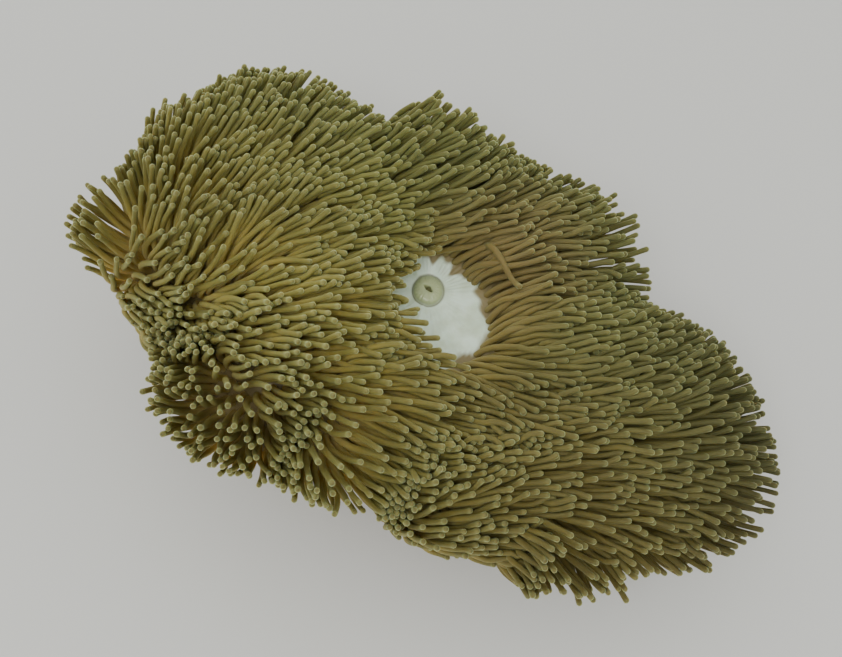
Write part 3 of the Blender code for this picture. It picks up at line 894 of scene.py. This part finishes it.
@dataclass
class Skin:
    """The closed skin of the foot, the column, the disc and the mouth."""

    disc: Disc
    column: ColumnSizes = field(default_factory=ColumnSizes)
    mouth: MouthSizes = field(default_factory=MouthSizes)
    turns: int = 420
    body: bpy.types.Object | None = None

    def foot_rings(self, azimuth: np.ndarray) -> list[np.ndarray]:
        """The foot, from the middle of its flat underside to its upper edge.

        Args:
            azimuth: Directions, in radians.

        Returns:
            One row of points for each ring.
        """
        sizes = self.column
        rim = sizes.foot_radius - sizes.foot_round
        outline = [(rim * 0.35, 0.0), (rim * 0.7, 0.0), (rim, 0.0)]
        for turn in np.radians(np.linspace(-75.0, 80.0, 9)):
            part = sizes.foot_edge if turn < 0 else sizes.foot_thickness - sizes.foot_edge
            outline.append((rim + sizes.foot_round * math.cos(turn), sizes.foot_edge + part * math.sin(turn)))
        ripples = 1.0 + sizes.foot_ripple * np.sin(azimuth * 9.0) * np.cos(azimuth * 4.0 + 1.0)
        return [ring_of(azimuth, np.minimum(radius * ripples, sizes.foot_radius), z) for radius, z in outline]

    def column_rings(self, azimuth: np.ndarray, rows: int = 44) -> list[np.ndarray]:
        """The column, from the foot up to the disc's underside.

        Args:
            azimuth: Directions, in radians.
            rows: How many rings.

        Returns:
            One row of points for each ring.
        """
        sizes = self.column
        collar = self.disc.under(azimuth, np.full_like(azimuth, sizes.collar_radius), np.ones_like(azimuth))
        base = sizes.foot_thickness
        shares, radii = zip(*sizes.profile)
        wider = np.hypot(collar[:, 0], collar[:, 1]) - radii[-1]
        rings = []
        for share in (np.arange(rows) + 0.5) / rows:
            flare = smooth((share - sizes.flare_start) / (1.0 - sizes.flare_start))
            radius = np.interp(share, shares, radii) + wider * flare
            radius = radius + sizes.fold_depth * np.sin(azimuth * sizes.folds) * math.sin(math.pi * share)
            rings.append(ring_of(azimuth, radius, base + (collar[:, 2] - base) * share))
        return rings

    def disc_rings(self, azimuth: np.ndarray) -> tuple[list[np.ndarray], list[np.ndarray]]:
        """The disc, from its underside at the collar, round its margin and in to the mouth.

        Args:
            azimuth: Directions, in radians.

        Returns:
            The rings of the underside and the margin, and the arcs of those of the upper side.
        """
        whole = np.ones_like(azimuth)
        half = self.disc.sizes.margin_thickness / 2.0
        start, end = self.column.collar_radius, self.disc.reach(azimuth) - half
        rings = [self.disc.under(azimuth, start + (end - start) * t, whole) for t in np.linspace(0, 1, 26)]
        for turn in np.radians(np.linspace(-70.0, 70.0, 8)):
            depth = whole * (0.5 - 0.5 * math.sin(turn))
            rings.append(self.disc.under(azimuth, end + half * math.cos(turn), depth))
        bare, surround = self.disc.bare_edge(azimuth), self.mouth.surround
        arcs = [end + (bare - end) * t for t in np.linspace(0, 1, 46)]
        arcs += [bare + (surround - bare) * t for t in np.linspace(0, 1, 18)[1:]]
        arcs += [whole * arc for arc in np.linspace(surround, 0.0006, 34)[1:]]
        return rings, arcs

    def upper_ring(self, azimuth: np.ndarray, arc: np.ndarray) -> tuple[np.ndarray, dict[str, np.ndarray]]:
        """One ring of the upper side, with the mouth and the disc's faint folds raised on it.

        Args:
            azimuth: Directions, in radians.
            arc: Distances from the mouth along the skin.

        Returns:
            Points, and the masks that the material reads.
        """
        sizes = self.mouth
        point, normal, _ = self.disc.frames(azimuth, arc)
        x, y = arc * np.cos(azimuth), arc * np.sin(azimuth)
        oval = np.hypot(x / sizes.half_width, y / sizes.half_length)
        mound = np.clip(1.0 - oval**2.6, 0.0, 1.0) ** 0.55
        dish = sizes.dish_depth * np.exp(-((oval / sizes.dish_share) ** 2))
        across, along = (x + y) * math.sqrt(0.5), (y - x) * math.sqrt(0.5)
        slit = np.exp(-((across / sizes.slit_width) ** 2) - (along / sizes.slit_length) ** 4)
        gutter = np.exp(-(((oval - sizes.gutter_share) / sizes.gutter_width) ** 2))
        fold = np.cos(azimuth * sizes.folds) * np.clip(oval, 0.0, 1.0) * (oval < 1.0)
        height = sizes.height * (mound * (1.0 - dish) - sizes.slit_depth * slit)
        height = height - sizes.gutter_depth * gutter + sizes.fold_height * fold
        ray = smooth((oval - 1.1) / 0.6) * (1.0 - smooth((arc - sizes.ray_end) / 0.01))
        height = height + sizes.ray_height * np.cos(azimuth * sizes.rays) * ray
        edge = self.disc.bare_edge(azimuth)
        for depth, waves, shift in sizes.edge_waves:
            edge = edge + depth * np.sin(azimuth * waves + shift)
        masks = {
            "upper": np.ones_like(arc),
            "bare": 1.0 - smooth((arc - edge + 0.002) / 0.004),
            "lips": 0.9 * smooth((1.04 - oval) / 0.08),
            # Where the dark slit colour goes: painted shade in the slit and in the groove round the mouth.
            "slit": np.maximum(slit, 0.80 * gutter),
        }
        return point + normal * height[:, None], masks

    def build(self) -> "Skin":
        """Makes the mesh, its masks and its unwrap.

        Returns:
            This skin.
        """
        azimuth = np.arange(self.turns) * math.tau / self.turns
        foot, column = self.foot_rings(azimuth), self.column_rings(azimuth)
        below, arcs = self.disc_rings(azimuth)
        upper, masks = zip(*(self.upper_ring(azimuth, arc) for arc in arcs))
        rings = [*foot, *column, *below, *upper]
        count, turns, trunk = len(rings), self.turns, len(foot) + len(column)
        mouth = self.upper_ring(azimuth[:1], np.array([0.0003]))[0][0]
        places = np.concatenate([*rings, [[0.0, 0.0, 0.0]], [mouth]])
        step = np.arange(turns)
        after = (step + 1) % turns
        top, pole = (count - 1) * turns, np.full(turns, count * turns)
        faces = []
        for low in range(0, top, turns):
            high = low + turns
            faces += np.stack([low + step, low + after, high + after, high + step], -1).tolist()
        faces += np.stack([pole, after, step], -1).tolist()
        faces += np.stack([top + step, top + after, pole + 1], -1).tolist()
        mesh = bpy.data.meshes.new("skin")
        mesh.from_pydata(places.tolist(), [], faces)
        for name in masks[0]:
            values = np.zeros((count, turns))
            values[-len(masks) :] = [mask[name] for mask in masks]
            add_attribute(mesh, name, np.append(values, [0.0, values[-1, 0]]))
        values = np.zeros((count, turns))
        values[:trunk] = 1.0
        values[trunk : trunk + 5] = np.linspace(1.0, 0.0, 6)[1:, None]
        add_attribute(mesh, "column", np.append(values, [1.0, 0.0]))
        self.add_warts(mesh, places, slice(len(foot) * turns, trunk * turns))
        self.unwrap(mesh, count)
        mesh.shade_smooth()
        self.body = add_object("skin", mesh)
        log.info("skin: %d triangles", sum(len(face) - 2 for face in faces))
        return self

    def add_warts(self, mesh: bpy.types.Mesh, places: np.ndarray, part: slice) -> None:
        """Raises small pale warts in rows down the upper column.

        Args:
            mesh: The skin.
            places: Its vertices.
            part: Which of them are the column's.
        """
        sizes = self.column
        wart = np.zeros(len(places))
        spots = places[part]
        azimuth, radius = np.arctan2(spots[:, 1], spots[:, 0]), np.hypot(spots[:, 0], spots[:, 1])
        for row in range(sizes.wart_rows):
            for level in range(sizes.wart_levels):
                height = sizes.wart_top - sizes.wart_drop * (level + 0.5 * (row % 2))
                turn = math.tau * (row + sizes.wart_stray * math.sin(level * 2.3 + row)) / sizes.wart_rows
                around = ((azimuth - turn + math.pi) % math.tau - math.pi) * radius
                size = sizes.wart_size * (1.0 - sizes.wart_shrink * level)
                far = (around**2 + (spots[:, 2] - height) ** 2) / size**2
                wart[part] = np.maximum(wart[part], np.exp(-(far**1.5)))
        outward = np.zeros_like(places)
        outward[part, :2] = spots[:, :2] / radius[:, None]
        moved = places + outward * (sizes.wart_height * wart)[:, None]
        mesh.vertices.foreach_set("co", moved.astype(np.float32).ravel())
        add_attribute(mesh, "wart", wart)

    def unwrap(self, mesh: bpy.types.Mesh, count: int) -> None:
        """Lays the skin out flat: round the body across, and from foot to mouth upwards.

        Args:
            mesh: The skin.
            count: How many rings it has.
        """
        corners = Corners(mesh)
        ring, step = corners.vertex // self.turns, (corners.vertex % self.turns).astype(float)
        pole = ring >= count
        step = corners.unrolled(step, self.turns, ~pole)
        step = np.where(pole, corners.lowest(step, ~pole) + 0.5, step)
        level = np.where(pole, np.where(corners.vertex == count * self.turns, 0.0, count + 1.0), ring + 1.0)
        corners.store(0.002 + 0.996 * step / self.turns, 0.002 + 0.996 * level / (count + 1.0))

    def dress(self, finish: SkinFinish) -> None:
        """Paints the skin and ties it to the frame.

        Args:
            finish: Its colours.
        """
        self.body.data.materials.append(skin_material(finish))
        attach(self.body, "root")
        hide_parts("pedal_disc", "column", "oral_disc", "mouth")
        for lobe in self.disc.sizes.lobes:
            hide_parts("lobe_" + lobe.name)


# ---------------------------------------------------------------- the tentacles


@dataclass(frozen=True)
class TentacleSizes:
    """Sizes of the tentacles, in metres, and how they stand and bend."""

    length: float = 0.062
    spacing: float = 0.0042
    density: float = 60000.0
    bare_gap: float = 0.0025
    root_radius: float = 0.0025
    shaft_radius: float = 0.00225
    neck_radius: float = 0.0018
    tip_radius: float = 0.0020
    root_depth: float = 0.003
    first_bend: float = 0.42
    more_bend: float = 0.55
    sway: float = 0.26
    sway_size: float = 0.016
    patch_band: float = 0.040
    patch_cut: float = 0.32
    stray_place: tuple[float, float] = (0.037, 0.030)
    stray_turn: float = -60.0
    stray_lift: float = -0.06
    rim_inset: float = 0.0050
    fringe_spacing: float = 0.0055
    fringe_share: float = 0.80
    fringe_inset: float = 0.0030
    segments: int = 14
    cap_rings: int = 5
    cap_share: float = 0.038
    sides: int = 9


@dataclass(frozen=True)
class Variety:
    """How a measure varies over the coat: in broad waves, and by chance from tentacle to tentacle."""

    usual: float
    wave: float
    wave_size: float
    wave_seed: int
    chance: float
    least: float = -math.inf
    most: float = math.inf

    def draw(self, root: np.ndarray, random: np.random.Generator) -> np.ndarray:
        """One value for each tentacle, from its place and the next draws."""
        waves = self.wave * ripple(root, self.wave_size, self.wave_seed)
        return np.clip(self.usual + waves + random.normal(0.0, self.chance, len(root)), self.least, self.most)


@dataclass
class Growth:
    """How each tentacle grows.

    It stands at an azimuth and an arc of the disc, turned some degrees off the current and with some lift
    against it. The low ones stand out from under the margin.
    """

    azimuth: np.ndarray
    arc: np.ndarray
    turn: np.ndarray
    lift: np.ndarray
    length: np.ndarray
    low: np.ndarray


@dataclass
class Tentacles:
    """All tentacles of the disc.

    PRESSED is how near two axes may come, as a share of the thickness, and SEARCH how many times as far off a
    neighbour is looked for. PUSH and STRAIGHTEN are the shares made good in each pass. FIRST_FREE is the
    first point of a line that gives way. SKIN_SEARCH, SKIN_BESIDE and BOX_GAP are in metres.
    """

    SCATTER_SEED = 5
    VARIETY_SEED = 11
    PRESSED = 0.96
    PUSH = 0.35
    STRAIGHTEN = 0.14
    SEARCH = 1.7
    SEARCH_EVERY = 5
    LIFT_EVERY = 3
    FIRST_FREE = 3
    SKIN_SEARCH = 0.012
    SKIN_BESIDE = 0.0025
    BOX_GAP = 0.0006

    disc: Disc
    current: Current = field(default_factory=Current)
    sizes: TentacleSizes = field(default_factory=TentacleSizes)
    turn: Variety = Variety(0.0, 9.0, 0.11, 3, 4.0)
    lift: Variety = Variety(0.03, 0.04, 0.07, 4, 0.045, 0.0, 0.25)
    stature: Variety = Variety(0.95, 0.03, 0.09, 5, 0.035, 0.80, 1.0)
    girth: Variety = Variety(1.0, 0.0, 0.09, 5, 0.05, 0.9, 1.1)
    tint: Variety = Variety(0.5, 0.22, 0.06, 6, 0.16, 0.0, 1.0)
    pieces: list[bpy.types.Object] = field(default_factory=list)

    def bed(self) -> bpy.types.Mesh:
        """The part of the disc's skin on which tentacles stand.

        Returns:
            An open mesh, with each vertex's distance from the mouth in the attribute "arc".
        """
        azimuth, share, faces = polar_grid(240, 40, 0.0)
        start = self.disc.bare_edge(azimuth) + self.sizes.bare_gap
        arc = start + (self.disc.reach(azimuth) - self.sizes.rim_inset - start) * share
        mesh = bpy.data.meshes.new("bed")
        mesh.from_pydata(self.disc.points(azimuth, arc).tolist(), [], faces)
        add_attribute(mesh, "arc", arc)
        return mesh

    def roots(self, material: bpy.types.Material) -> tuple[np.ndarray, np.ndarray]:
        """Scatters the tentacles' roots evenly over the bed.

        Args:
            material: Any material, for the tree's last step.

        Returns:
            Their azimuths and arcs.
        """
        kinds = {"Spacing": Socket.FLOAT, "Density": Socket.FLOAT, "Seed": Socket.INT}
        tree = Tree("scatter", {**kinds, "Material": Socket.MATERIAL})
        targets = {"Mesh": "Geometry", "Distance Min": "Spacing", "Density Max": "Density", "Seed": "Seed"}
        inputs = {target: tree.given[source] for target, source in targets.items()}
        spots = tree.node("GeometryNodeDistributePointsOnFaces", inputs, distribute_method="POISSON")
        dots = tree.node("GeometryNodePointsToVertices", {"Points": spots.outputs["Points"]})
        tree.close(dots.outputs["Mesh"])
        values = {"Spacing": self.sizes.spacing, "Density": self.sizes.density, "Seed": self.SCATTER_SEED}
        found = tree.run("roots", self.bed(), {**values, "Material": material})
        places = read_array(found.vertices, "co", 3).reshape(-1, 3).astype(float)
        order = np.lexsort(places.T)
        arc = read_array(found.attributes["arc"].data, "value")[order].astype(float)
        return np.arctan2(places[order, 1], places[order, 0]), arc

    def fringe(self) -> tuple[np.ndarray, np.ndarray]:
        """The roots of the outermost row, which stands out from under the margin.

        Returns:
            Their azimuths and arcs.
        """
        fine = np.linspace(0.0, math.tau, 1441)
        edge = self.disc.points(fine, self.disc.reach(fine))
        walked = np.concatenate([[0.0], np.cumsum(np.linalg.norm(np.diff(edge, axis=0), axis=1))])
        count = round(walked[-1] / self.sizes.fringe_spacing)
        azimuth = np.interp((np.arange(count) + 0.5) * walked[-1] / count, walked, fine)
        return azimuth, self.disc.reach(azimuth) - self.sizes.fringe_inset

    def near_patch(self, growth: Growth, random: np.random.Generator) -> np.ndarray:
        """How much shorter the tentacles are that lean over the bare patch.

        Args:
            growth: How each grows.
            random: Where the chances come from.

        Returns:
            Shares of the full length.
        """
        azimuth, arc = growth.azimuth, growth.arc
        way = self.current.at(self.disc.points(azimuth, arc), growth.turn)
        inward = np.clip(-(way[:, 0] * np.cos(azimuth) + way[:, 1] * np.sin(azimuth)), 0.0, 1.0)
        near = 1.0 - smooth((arc - self.disc.bare_edge(azimuth)) / self.sizes.patch_band)
        return 1.0 - self.sizes.patch_cut * near * smooth(inward / 0.6) * random.uniform(0.3, 1.0, len(arc))

    def centre_lines(self, growth: Growth) -> np.ndarray:
        """Lets each tentacle rise from the skin and bend over with the current.

        Args:
            growth: How each grows.

        Returns:
            Points along each, from root to tip.
        """
        sizes, low = self.sizes, growth.low[:, None]
        root, normal, out = self.disc.frames(growth.azimuth, growth.arc)
        root = np.where(low, self.disc.under(growth.azimuth, growth.arc, np.full_like(growth.arc, 0.5)), root)
        way = self.current.at(root, growth.turn)
        way = way + normal * np.maximum(self.current.least_rise - dot(way, normal), 0.0)
        normal = np.where(low, unit(0.8 * out + normal), normal)
        aside = unit(np.cross(normal, way))
        phase = 4.0 * ripple(root, sizes.sway_size, 7)[:, None]
        line = [root]
        for step in range(sizes.segments):
            share = (step + 0.5) / sizes.segments
            bend = sizes.first_bend + sizes.more_bend * smooth(share / 0.6)
            sway = sizes.sway * share * np.sin(phase + 5.0 * share)
            rise = 1.15 * (1.0 - bend) + growth.lift[:, None]
            direction = unit(normal * rise + way * bend + aside * sway)
            line.append(line[-1] + direction * (growth.length / sizes.segments)[:, None])
        return np.stack(line, axis=1)

    def settle(self, lines: np.ndarray, length: np.ndarray, rounds: int = 30) -> np.ndarray:
        """Pushes tentacles apart until they rest on one another and on the skin.

        Args:
            lines: Points along each tentacle.
            length: Each tentacle's length.
            rounds: How many passes.

        Returns:
            The settled points.
        """
        count, places = lines.shape[:2]
        step = (length / (places - 1))[:, None]
        free = smooth(np.linspace(0.0, 1.0, places) / 0.3)[None, :, None]
        apart = 2.0 * self.sizes.shaft_radius * self.PRESSED
        lines = lines.copy()
        azimuth, share, faces = polar_grid(180, 36, 0.02)
        skin = self.disc.points(azimuth, self.disc.reach(azimuth) * share)
        bed = BVHTree.FromPolygons(skin.tolist(), faces)
        for turn in range(rounds):
            if turn % self.SEARCH_EVERY == 0:
                pairs = self.close_pairs(lines, apart * self.SEARCH)
            flat = lines.reshape(-1, 3)
            between = flat[pairs[:, 1]] - flat[pairs[:, 0]]
            far = np.linalg.norm(between, axis=1, keepdims=True)
            push = between / np.maximum(far, 1e-9) * np.clip(apart - far, 0.0, None) * self.PUSH
            move = np.zeros_like(flat)
            np.add.at(move, pairs[:, 1], push)
            np.add.at(move, pairs[:, 0], -push)
            move = move.reshape(lines.shape)
            move[:, 1:-1] += self.STRAIGHTEN * (0.5 * (lines[:, :-2] + lines[:, 2:]) - lines[:, 1:-1])
            lines = lines + move * free
            if turn % self.LIFT_EVERY == self.LIFT_EVERY - 1:
                lines = self.keep_off(lines, bed)
            for k in range(1, places):
                way = unit(lines[:, k] - lines[:, k - 1])
                lines[:, k] = lines[:, k - 1] + way * step
        log.info("settled %d tentacles", count)
        return lines

    def lay_over(self, lines: np.ndarray, own: np.ndarray, stray: int) -> np.ndarray:
        """Lays one tentacle across the tops of those in its way.

        Args:
            lines: Points along each tentacle, settled.
            own: The one's points before they settled.
            stray: Which it is.

        Returns:
            The points, with that tentacle on top.
        """
        others = np.delete(lines, stray, axis=0).reshape(-1, 3)
        wide = 2.0 * self.sizes.shaft_radius
        own = own.copy()
        for k in range(self.FIRST_FREE, len(own)):
            near = np.hypot(*(others[:, :2] - own[k, :2]).T) < wide
            own[k, 2] = max(own[k, 2], others[near, 2].max(initial=0.0) + 0.8 * wide)
        for _ in range(6):
            own[3:-1, 2] = 0.25 * own[2:-2, 2] + 0.5 * own[3:-1, 2] + 0.25 * own[4:, 2]
        lines = lines.copy()
        lines[stray] = own
        return lines

    def close_pairs(self, lines: np.ndarray, limit: float) -> np.ndarray:
        """Finds points of different tentacles that are near one another.

        Args:
            lines: Points along each tentacle.
            limit: How near.

        Returns:
            Pairs of indices into the flattened points.
        """
        flat, places = lines.reshape(-1, 3), lines.shape[1]
        tree = KDTree(len(flat))
        for index, point in enumerate(flat):
            tree.insert(point, index)
        tree.balance()
        found = []
        for index, point in enumerate(flat):
            for _, other, _ in tree.find_range(point, limit):
                if other > index and other // places != index // places:
                    found.append((index, other))
        return np.array(found, dtype=int).reshape(-1, 2)

    def keep_off(self, lines: np.ndarray, bed: BVHTree) -> np.ndarray:
        """Lifts points that have sunk into the skin.

        Args:
            lines: Points along each tentacle.
            bed: The skin.

        Returns:
            The points, each at least a tentacle's radius above the skin.
        """
        clear = self.sizes.shaft_radius
        lines = lines.copy()
        for row in lines:
            for k in range(self.FIRST_FREE, len(row)):
                place, normal, _, far = bed.find_nearest(Vector(row[k]), self.SKIN_SEARCH)
                if place is None:
                    continue
                height = (Vector(row[k]) - place).dot(normal)
                aside = math.sqrt(max(far * far - height * height, 0.0))
                if height < clear and aside < self.SKIN_BESIDE:
                    row[k] += np.array(normal) * (clear - height)
        return lines

    def keep_in(self, lines: np.ndarray) -> np.ndarray:
        """Draws tips in that would pass the solids' box.

        Args:
            lines: Points along each tentacle.

        Returns:
            The points, all inside the box by a tentacle's radius.
        """
        low, high = (np.array(corner) for corner in frame_box)
        inset = self.sizes.tip_radius + self.BOX_GAP
        over = np.maximum(lines - (high - inset), 0.0).max(axis=1)
        short = np.maximum((low + inset) - lines, 0.0).max(axis=1)
        share = smooth(np.linspace(0.0, 1.0, lines.shape[1]) / 0.9)
        log.info("drew in %d tentacles", int(((over + short).max(axis=1) > 1e-6).sum()))
        return lines + (short - over)[:, None] * share[None, :, None]

    def capped(self, lines: np.ndarray) -> tuple[np.ndarray, np.ndarray, np.ndarray]:
        """Adds a sunk root and a rounded tip to each line.

        Args:
            lines: Points along each tentacle.

        Returns:
            Longer lines, and the radius and the share of the length at each of their points.
        """
        sizes, tip = self.sizes, self.sizes.tip_radius
        share = np.linspace(0.0, 1.0, lines.shape[1])
        stations = [0.0, 0.10, 0.45, 0.88, 0.96, 1.0]
        girths = [sizes.root_radius, sizes.shaft_radius, sizes.shaft_radius, sizes.neck_radius, tip, tip]
        radius = np.interp(share, stations, girths)
        end = unit(lines[:, -1] - lines[:, -2])
        sunk = lines[:, 0] - unit(lines[:, 1] - lines[:, 0]) * sizes.root_depth
        back = lines[:, -1] - end * tip
        turns = np.radians(np.linspace(0.0, 88.0, sizes.cap_rings + 1)[1:])
        caps = [back + end * tip * math.sin(turn) for turn in turns]
        stretched = np.stack([sunk, *lines.transpose(1, 0, 2)[:-1], back, *caps], axis=1)
        radii = [sizes.root_radius * 0.9, *radius[:-1], tip, *(tip * math.cos(turn) for turn in turns)]
        tip_start = 1.0 - sizes.cap_share
        tips = tip_start + sizes.cap_share * np.linspace(0, 1, len(turns) + 1)
        return stretched, np.array(radii), np.concatenate([[0.0], share[:-1] * 0.955, tips])

    def sweep_tree(self) -> Tree:
        """The node tree that turns centre-lines into tentacles.

        Returns:
            The tree.
        """
        tree = Tree("sweep", {"Sides": Socket.INT, "Material": Socket.MATERIAL})
        line = tree.node("GeometryNodeMeshToCurve", {"Mesh": tree.given["Geometry"]}).outputs["Curve"]
        girth = tree.node("GeometryNodeInputNamedAttribute", {"Name": "girth"}, data_type="FLOAT")
        inputs = {"Curve": line, "Radius": girth.outputs["Attribute"]}
        line = tree.node("GeometryNodeSetCurveRadius", inputs).outputs["Curve"]
        inputs = {"Radius": 1.0, "Resolution": tree.given["Sides"]}
        circle = tree.node("GeometryNodeCurvePrimitiveCircle", inputs).outputs["Curve"]
        place = tree.node("GeometryNodeSplineParameter").outputs["Factor"]
        inputs = {"Name": "spin", "Geometry": circle, "Value": place}
        spun = tree.node("GeometryNodeStoreNamedAttribute", inputs, data_type="FLOAT", domain="POINT")
        radius = tree.node("GeometryNodeInputRadius").outputs["Radius"]
        inputs = {"Curve": line, "Profile Curve": spun.outputs["Geometry"], "Scale": radius}
        tube = tree.node("GeometryNodeCurveToMesh", {**inputs, "Fill Caps": True})
        smoothed = tree.node("GeometryNodeSetShadeSmooth", {"Geometry": tube.outputs["Mesh"]})
        tree.close(smoothed.outputs["Geometry"])
        return tree

    def build(self, material: bpy.types.Material) -> "Tentacles":
        """Grows all tentacles, one piece for each lobe.

        Args:
            material: Their material.

        Returns:
            These tentacles.
        """
        scattered, outermost = self.roots(material), self.fringe()
        azimuth, arc = (np.concatenate(both) for both in zip(scattered, outermost))
        low = np.repeat([False, True], [len(scattered[0]), len(outermost[0])])
        log.info("%d roots, %d of them in the outermost row", len(low), low.sum())
        sizes, random = self.sizes, np.random.default_rng(self.VARIETY_SEED)
        root = self.disc.points(azimuth, arc)
        turn, lift = self.turn.draw(root, random), self.lift.draw(root, random)
        stray = int(np.argmin(np.hypot(*(root[:, :2] - sizes.stray_place).T)))
        turn[stray], lift[stray] = sizes.stray_turn, sizes.stray_lift
        growth = Growth(azimuth, arc, turn, lift, sizes.length * self.stature.draw(root, random), low)
        growth.length = growth.length * self.near_patch(growth, random)
        growth.length = np.where(low, sizes.fringe_share * growth.length, growth.length)
        lines = self.centre_lines(growth)
        lines = self.keep_in(self.lay_over(self.settle(lines, growth.length), lines[stray], stray))
        lines, radii, shares = self.capped(lines)
        girth, tint = self.girth.draw(root, random), self.tint.draw(root, random)
        owner, tree = self.disc.nearest_lobe(azimuth), self.sweep_tree()
        for index, lobe in enumerate(self.disc.sizes.lobes):
            mine = np.flatnonzero(owner == index)
            mesh = self.line_mesh(lines[mine], radii * girth[mine, None], shares, tint[mine])
            made = tree.run("tentacles_" + lobe.name, mesh, {"Sides": sizes.sides, "Material": material})
            self.unwrap(made, len(mine))
            self.pieces.append(add_object("tentacles_" + lobe.name, made))
            log.info("%s: %d tentacles, %d faces", made.name, len(mine), len(made.polygons))
        return self

    def line_mesh(
        self, lines: np.ndarray, radii: np.ndarray, shares: np.ndarray, tint: np.ndarray
    ) -> bpy.types.Mesh:
        """Centre-lines as loose edges, with what the sweep reads at each point.

        Args:
            lines: Points along each tentacle.
            radii: The radius at each point.
            shares: The share of the length at each point of one tentacle.
            tint: Each tentacle's shade.

        Returns:
            The mesh.
        """
        count, places = lines.shape[:2]
        index = np.arange(count * places).reshape(count, places)
        edges = np.stack([index[:, :-1].ravel(), index[:, 1:].ravel()], -1)
        mesh = bpy.data.meshes.new("lines")
        mesh.from_pydata(lines.reshape(-1, 3).tolist(), edges.tolist(), [])
        add_attribute(mesh, "girth", radii)
        add_attribute(mesh, "along", np.tile(shares, count))
        add_attribute(mesh, "tint", np.repeat(tint, places))
        add_attribute(mesh, "strip", np.repeat(np.arange(count), places))
        return mesh

    def unwrap(self, mesh: bpy.types.Mesh, count: int) -> None:
        """Lays each tentacle in a strip of its own: round it across, and from root to tip upwards.

        Args:
            mesh: One lobe's tentacles.
            count: How many there are.
        """
        columns = max(1, math.ceil(math.sqrt(count * 3.0)))
        rows = math.ceil(count / columns)
        corners = Corners(mesh)
        values = [mesh.attributes[name].data for name in ("spin", "along", "strip")]
        spin, along, strip = (read_array(data, "value")[corners.vertex] for data in values)
        caps, strip = corners.sides > 4, np.rint(strip)
        spin = corners.unrolled(spin, 1.0, ~caps)
        turn = spin * math.tau
        around = np.where(caps, 0.5 + 0.3 * np.cos(turn), 0.08 + 0.84 * spin)
        level = np.where(caps, np.where(along > 0.5, 0.97, 0.03) + 0.02 * np.sin(turn), 0.06 + 0.88 * along)
        corners.store((strip % columns + around) / columns, (strip // columns + level) / rows)

    def dress(self) -> None:
        """Ties each piece to the frame."""
        for piece, lobe in zip(self.pieces, self.disc.sizes.lobes):
            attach(piece, "root")
            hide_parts("lobe_" + lobe.name)


# ---------------------------------------------------------------- the studio


@dataclass(frozen=True)
class Lamp:
    """A soft lamp that looks at the model."""

    name: str
    place: Place
    size: float
    power: float
    colour: Colour = (1.0, 1.0, 1.0)


@dataclass(frozen=True)
class Camera:
    """Where the camera stands. The elevation is in degrees, lens and sensor in millimetres."""

    elevation: float = 62.0
    distance: float = 0.731
    lens: float = 45.0
    sensor: float = 36.0
    clip: tuple[float, float] = (0.02, 20.0)
    aim: Place = (-0.005, -0.030, 0.118)


@dataclass
class Studio:
    """The floor, the lights and the camera."""

    camera: Camera = field(default_factory=Camera)
    floor_colour: Colour = (0.62, 0.62, 0.60)
    floor_size: float = 6.0
    floor_roughness: float = 0.85
    sky_colour: Colour = (0.98, 0.99, 0.95)
    sky_strength: float = 1.12
    lamp_aim: Place = (0.0, 0.0, 0.10)
    lamps: tuple[Lamp, ...] = (
        Lamp("key", (-0.25, -0.80, 1.50), 0.60, 8.5, (1.0, 0.985, 0.95)),
        Lamp("fill", (1.20, -0.50, 1.20), 1.40, 1.5, (0.95, 0.98, 1.0)),
        Lamp("rim", (-0.60, 1.30, 1.00), 0.80, 2.0),
    )

    def build(self) -> "Studio":
        """Makes the floor, the lamps, the sky light and the camera.

        Returns:
            This studio.
        """
        self.add_floor()
        for lamp in self.lamps:
            self.add_lamp(lamp)
        world = bpy.data.worlds.new("studio")
        world.use_nodes = True
        sky = world.node_tree.nodes["Background"].inputs
        sky["Color"].default_value = opaque(self.sky_colour)
        sky["Strength"].default_value = self.sky_strength
        bpy.context.scene.world = world
        self.add_camera()
        return self

    def add_floor(self) -> None:
        """A wide, plain, pale floor."""
        blank = bmesh.new()
        bmesh.ops.create_grid(blank, x_segments=2, y_segments=2, size=self.floor_size)
        mesh = bpy.data.meshes.new("floor")
        blank.to_mesh(mesh)
        blank.free()
        shader = Shader("floor")
        inputs = {"Base Color": opaque(self.floor_colour), "Roughness": self.floor_roughness}
        shader.feed(shader.surface, inputs)
        mesh.materials.append(shader.material)
        floor = add_object("floor", mesh)

    def add_lamp(self, lamp: Lamp) -> None:
        """Adds an area lamp aimed at the model.

        Args:
            lamp: Its place, size, power and colour.
        """
        light = bpy.data.lights.new(lamp.name, "AREA")
        light.shape = "DISK"
        light.size, light.energy, light.color = lamp.size, lamp.power, lamp.colour
        made = add_object(lamp.name, light)
        made.location = lamp.place
        way = Vector(self.lamp_aim) - Vector(lamp.place)
        made.rotation_euler = way.to_track_quat("-Z", "Y").to_euler()

    def add_camera(self) -> None:
        """Adds the camera."""
        turn = math.radians(self.camera.elevation)
        back = Vector((0.0, -math.cos(turn), math.sin(turn)))
        data = bpy.data.cameras.new("camera")
        data.lens, data.sensor_width = self.camera.lens, self.camera.sensor
        data.clip_start, data.clip_end = self.camera.clip
        made = add_object("camera", data)
        made.location = Vector(self.camera.aim) + back * self.camera.distance
        made.rotation_euler = (-back).to_track_quat("-Z", "Y").to_euler()
        bpy.context.scene.camera = made


def main() -> None:
    """Builds the anemone and its studio."""
    logging.basicConfig(level=logging.INFO, format="%(name)s: %(message)s")
    disc = Disc(DiscSizes())
    Skin(disc).build().dress(SkinFinish())
    Tentacles(disc).build(tentacle_material(TentacleFinish())).dress()
    Studio().build()


if __name__ == "__main__":
    main()
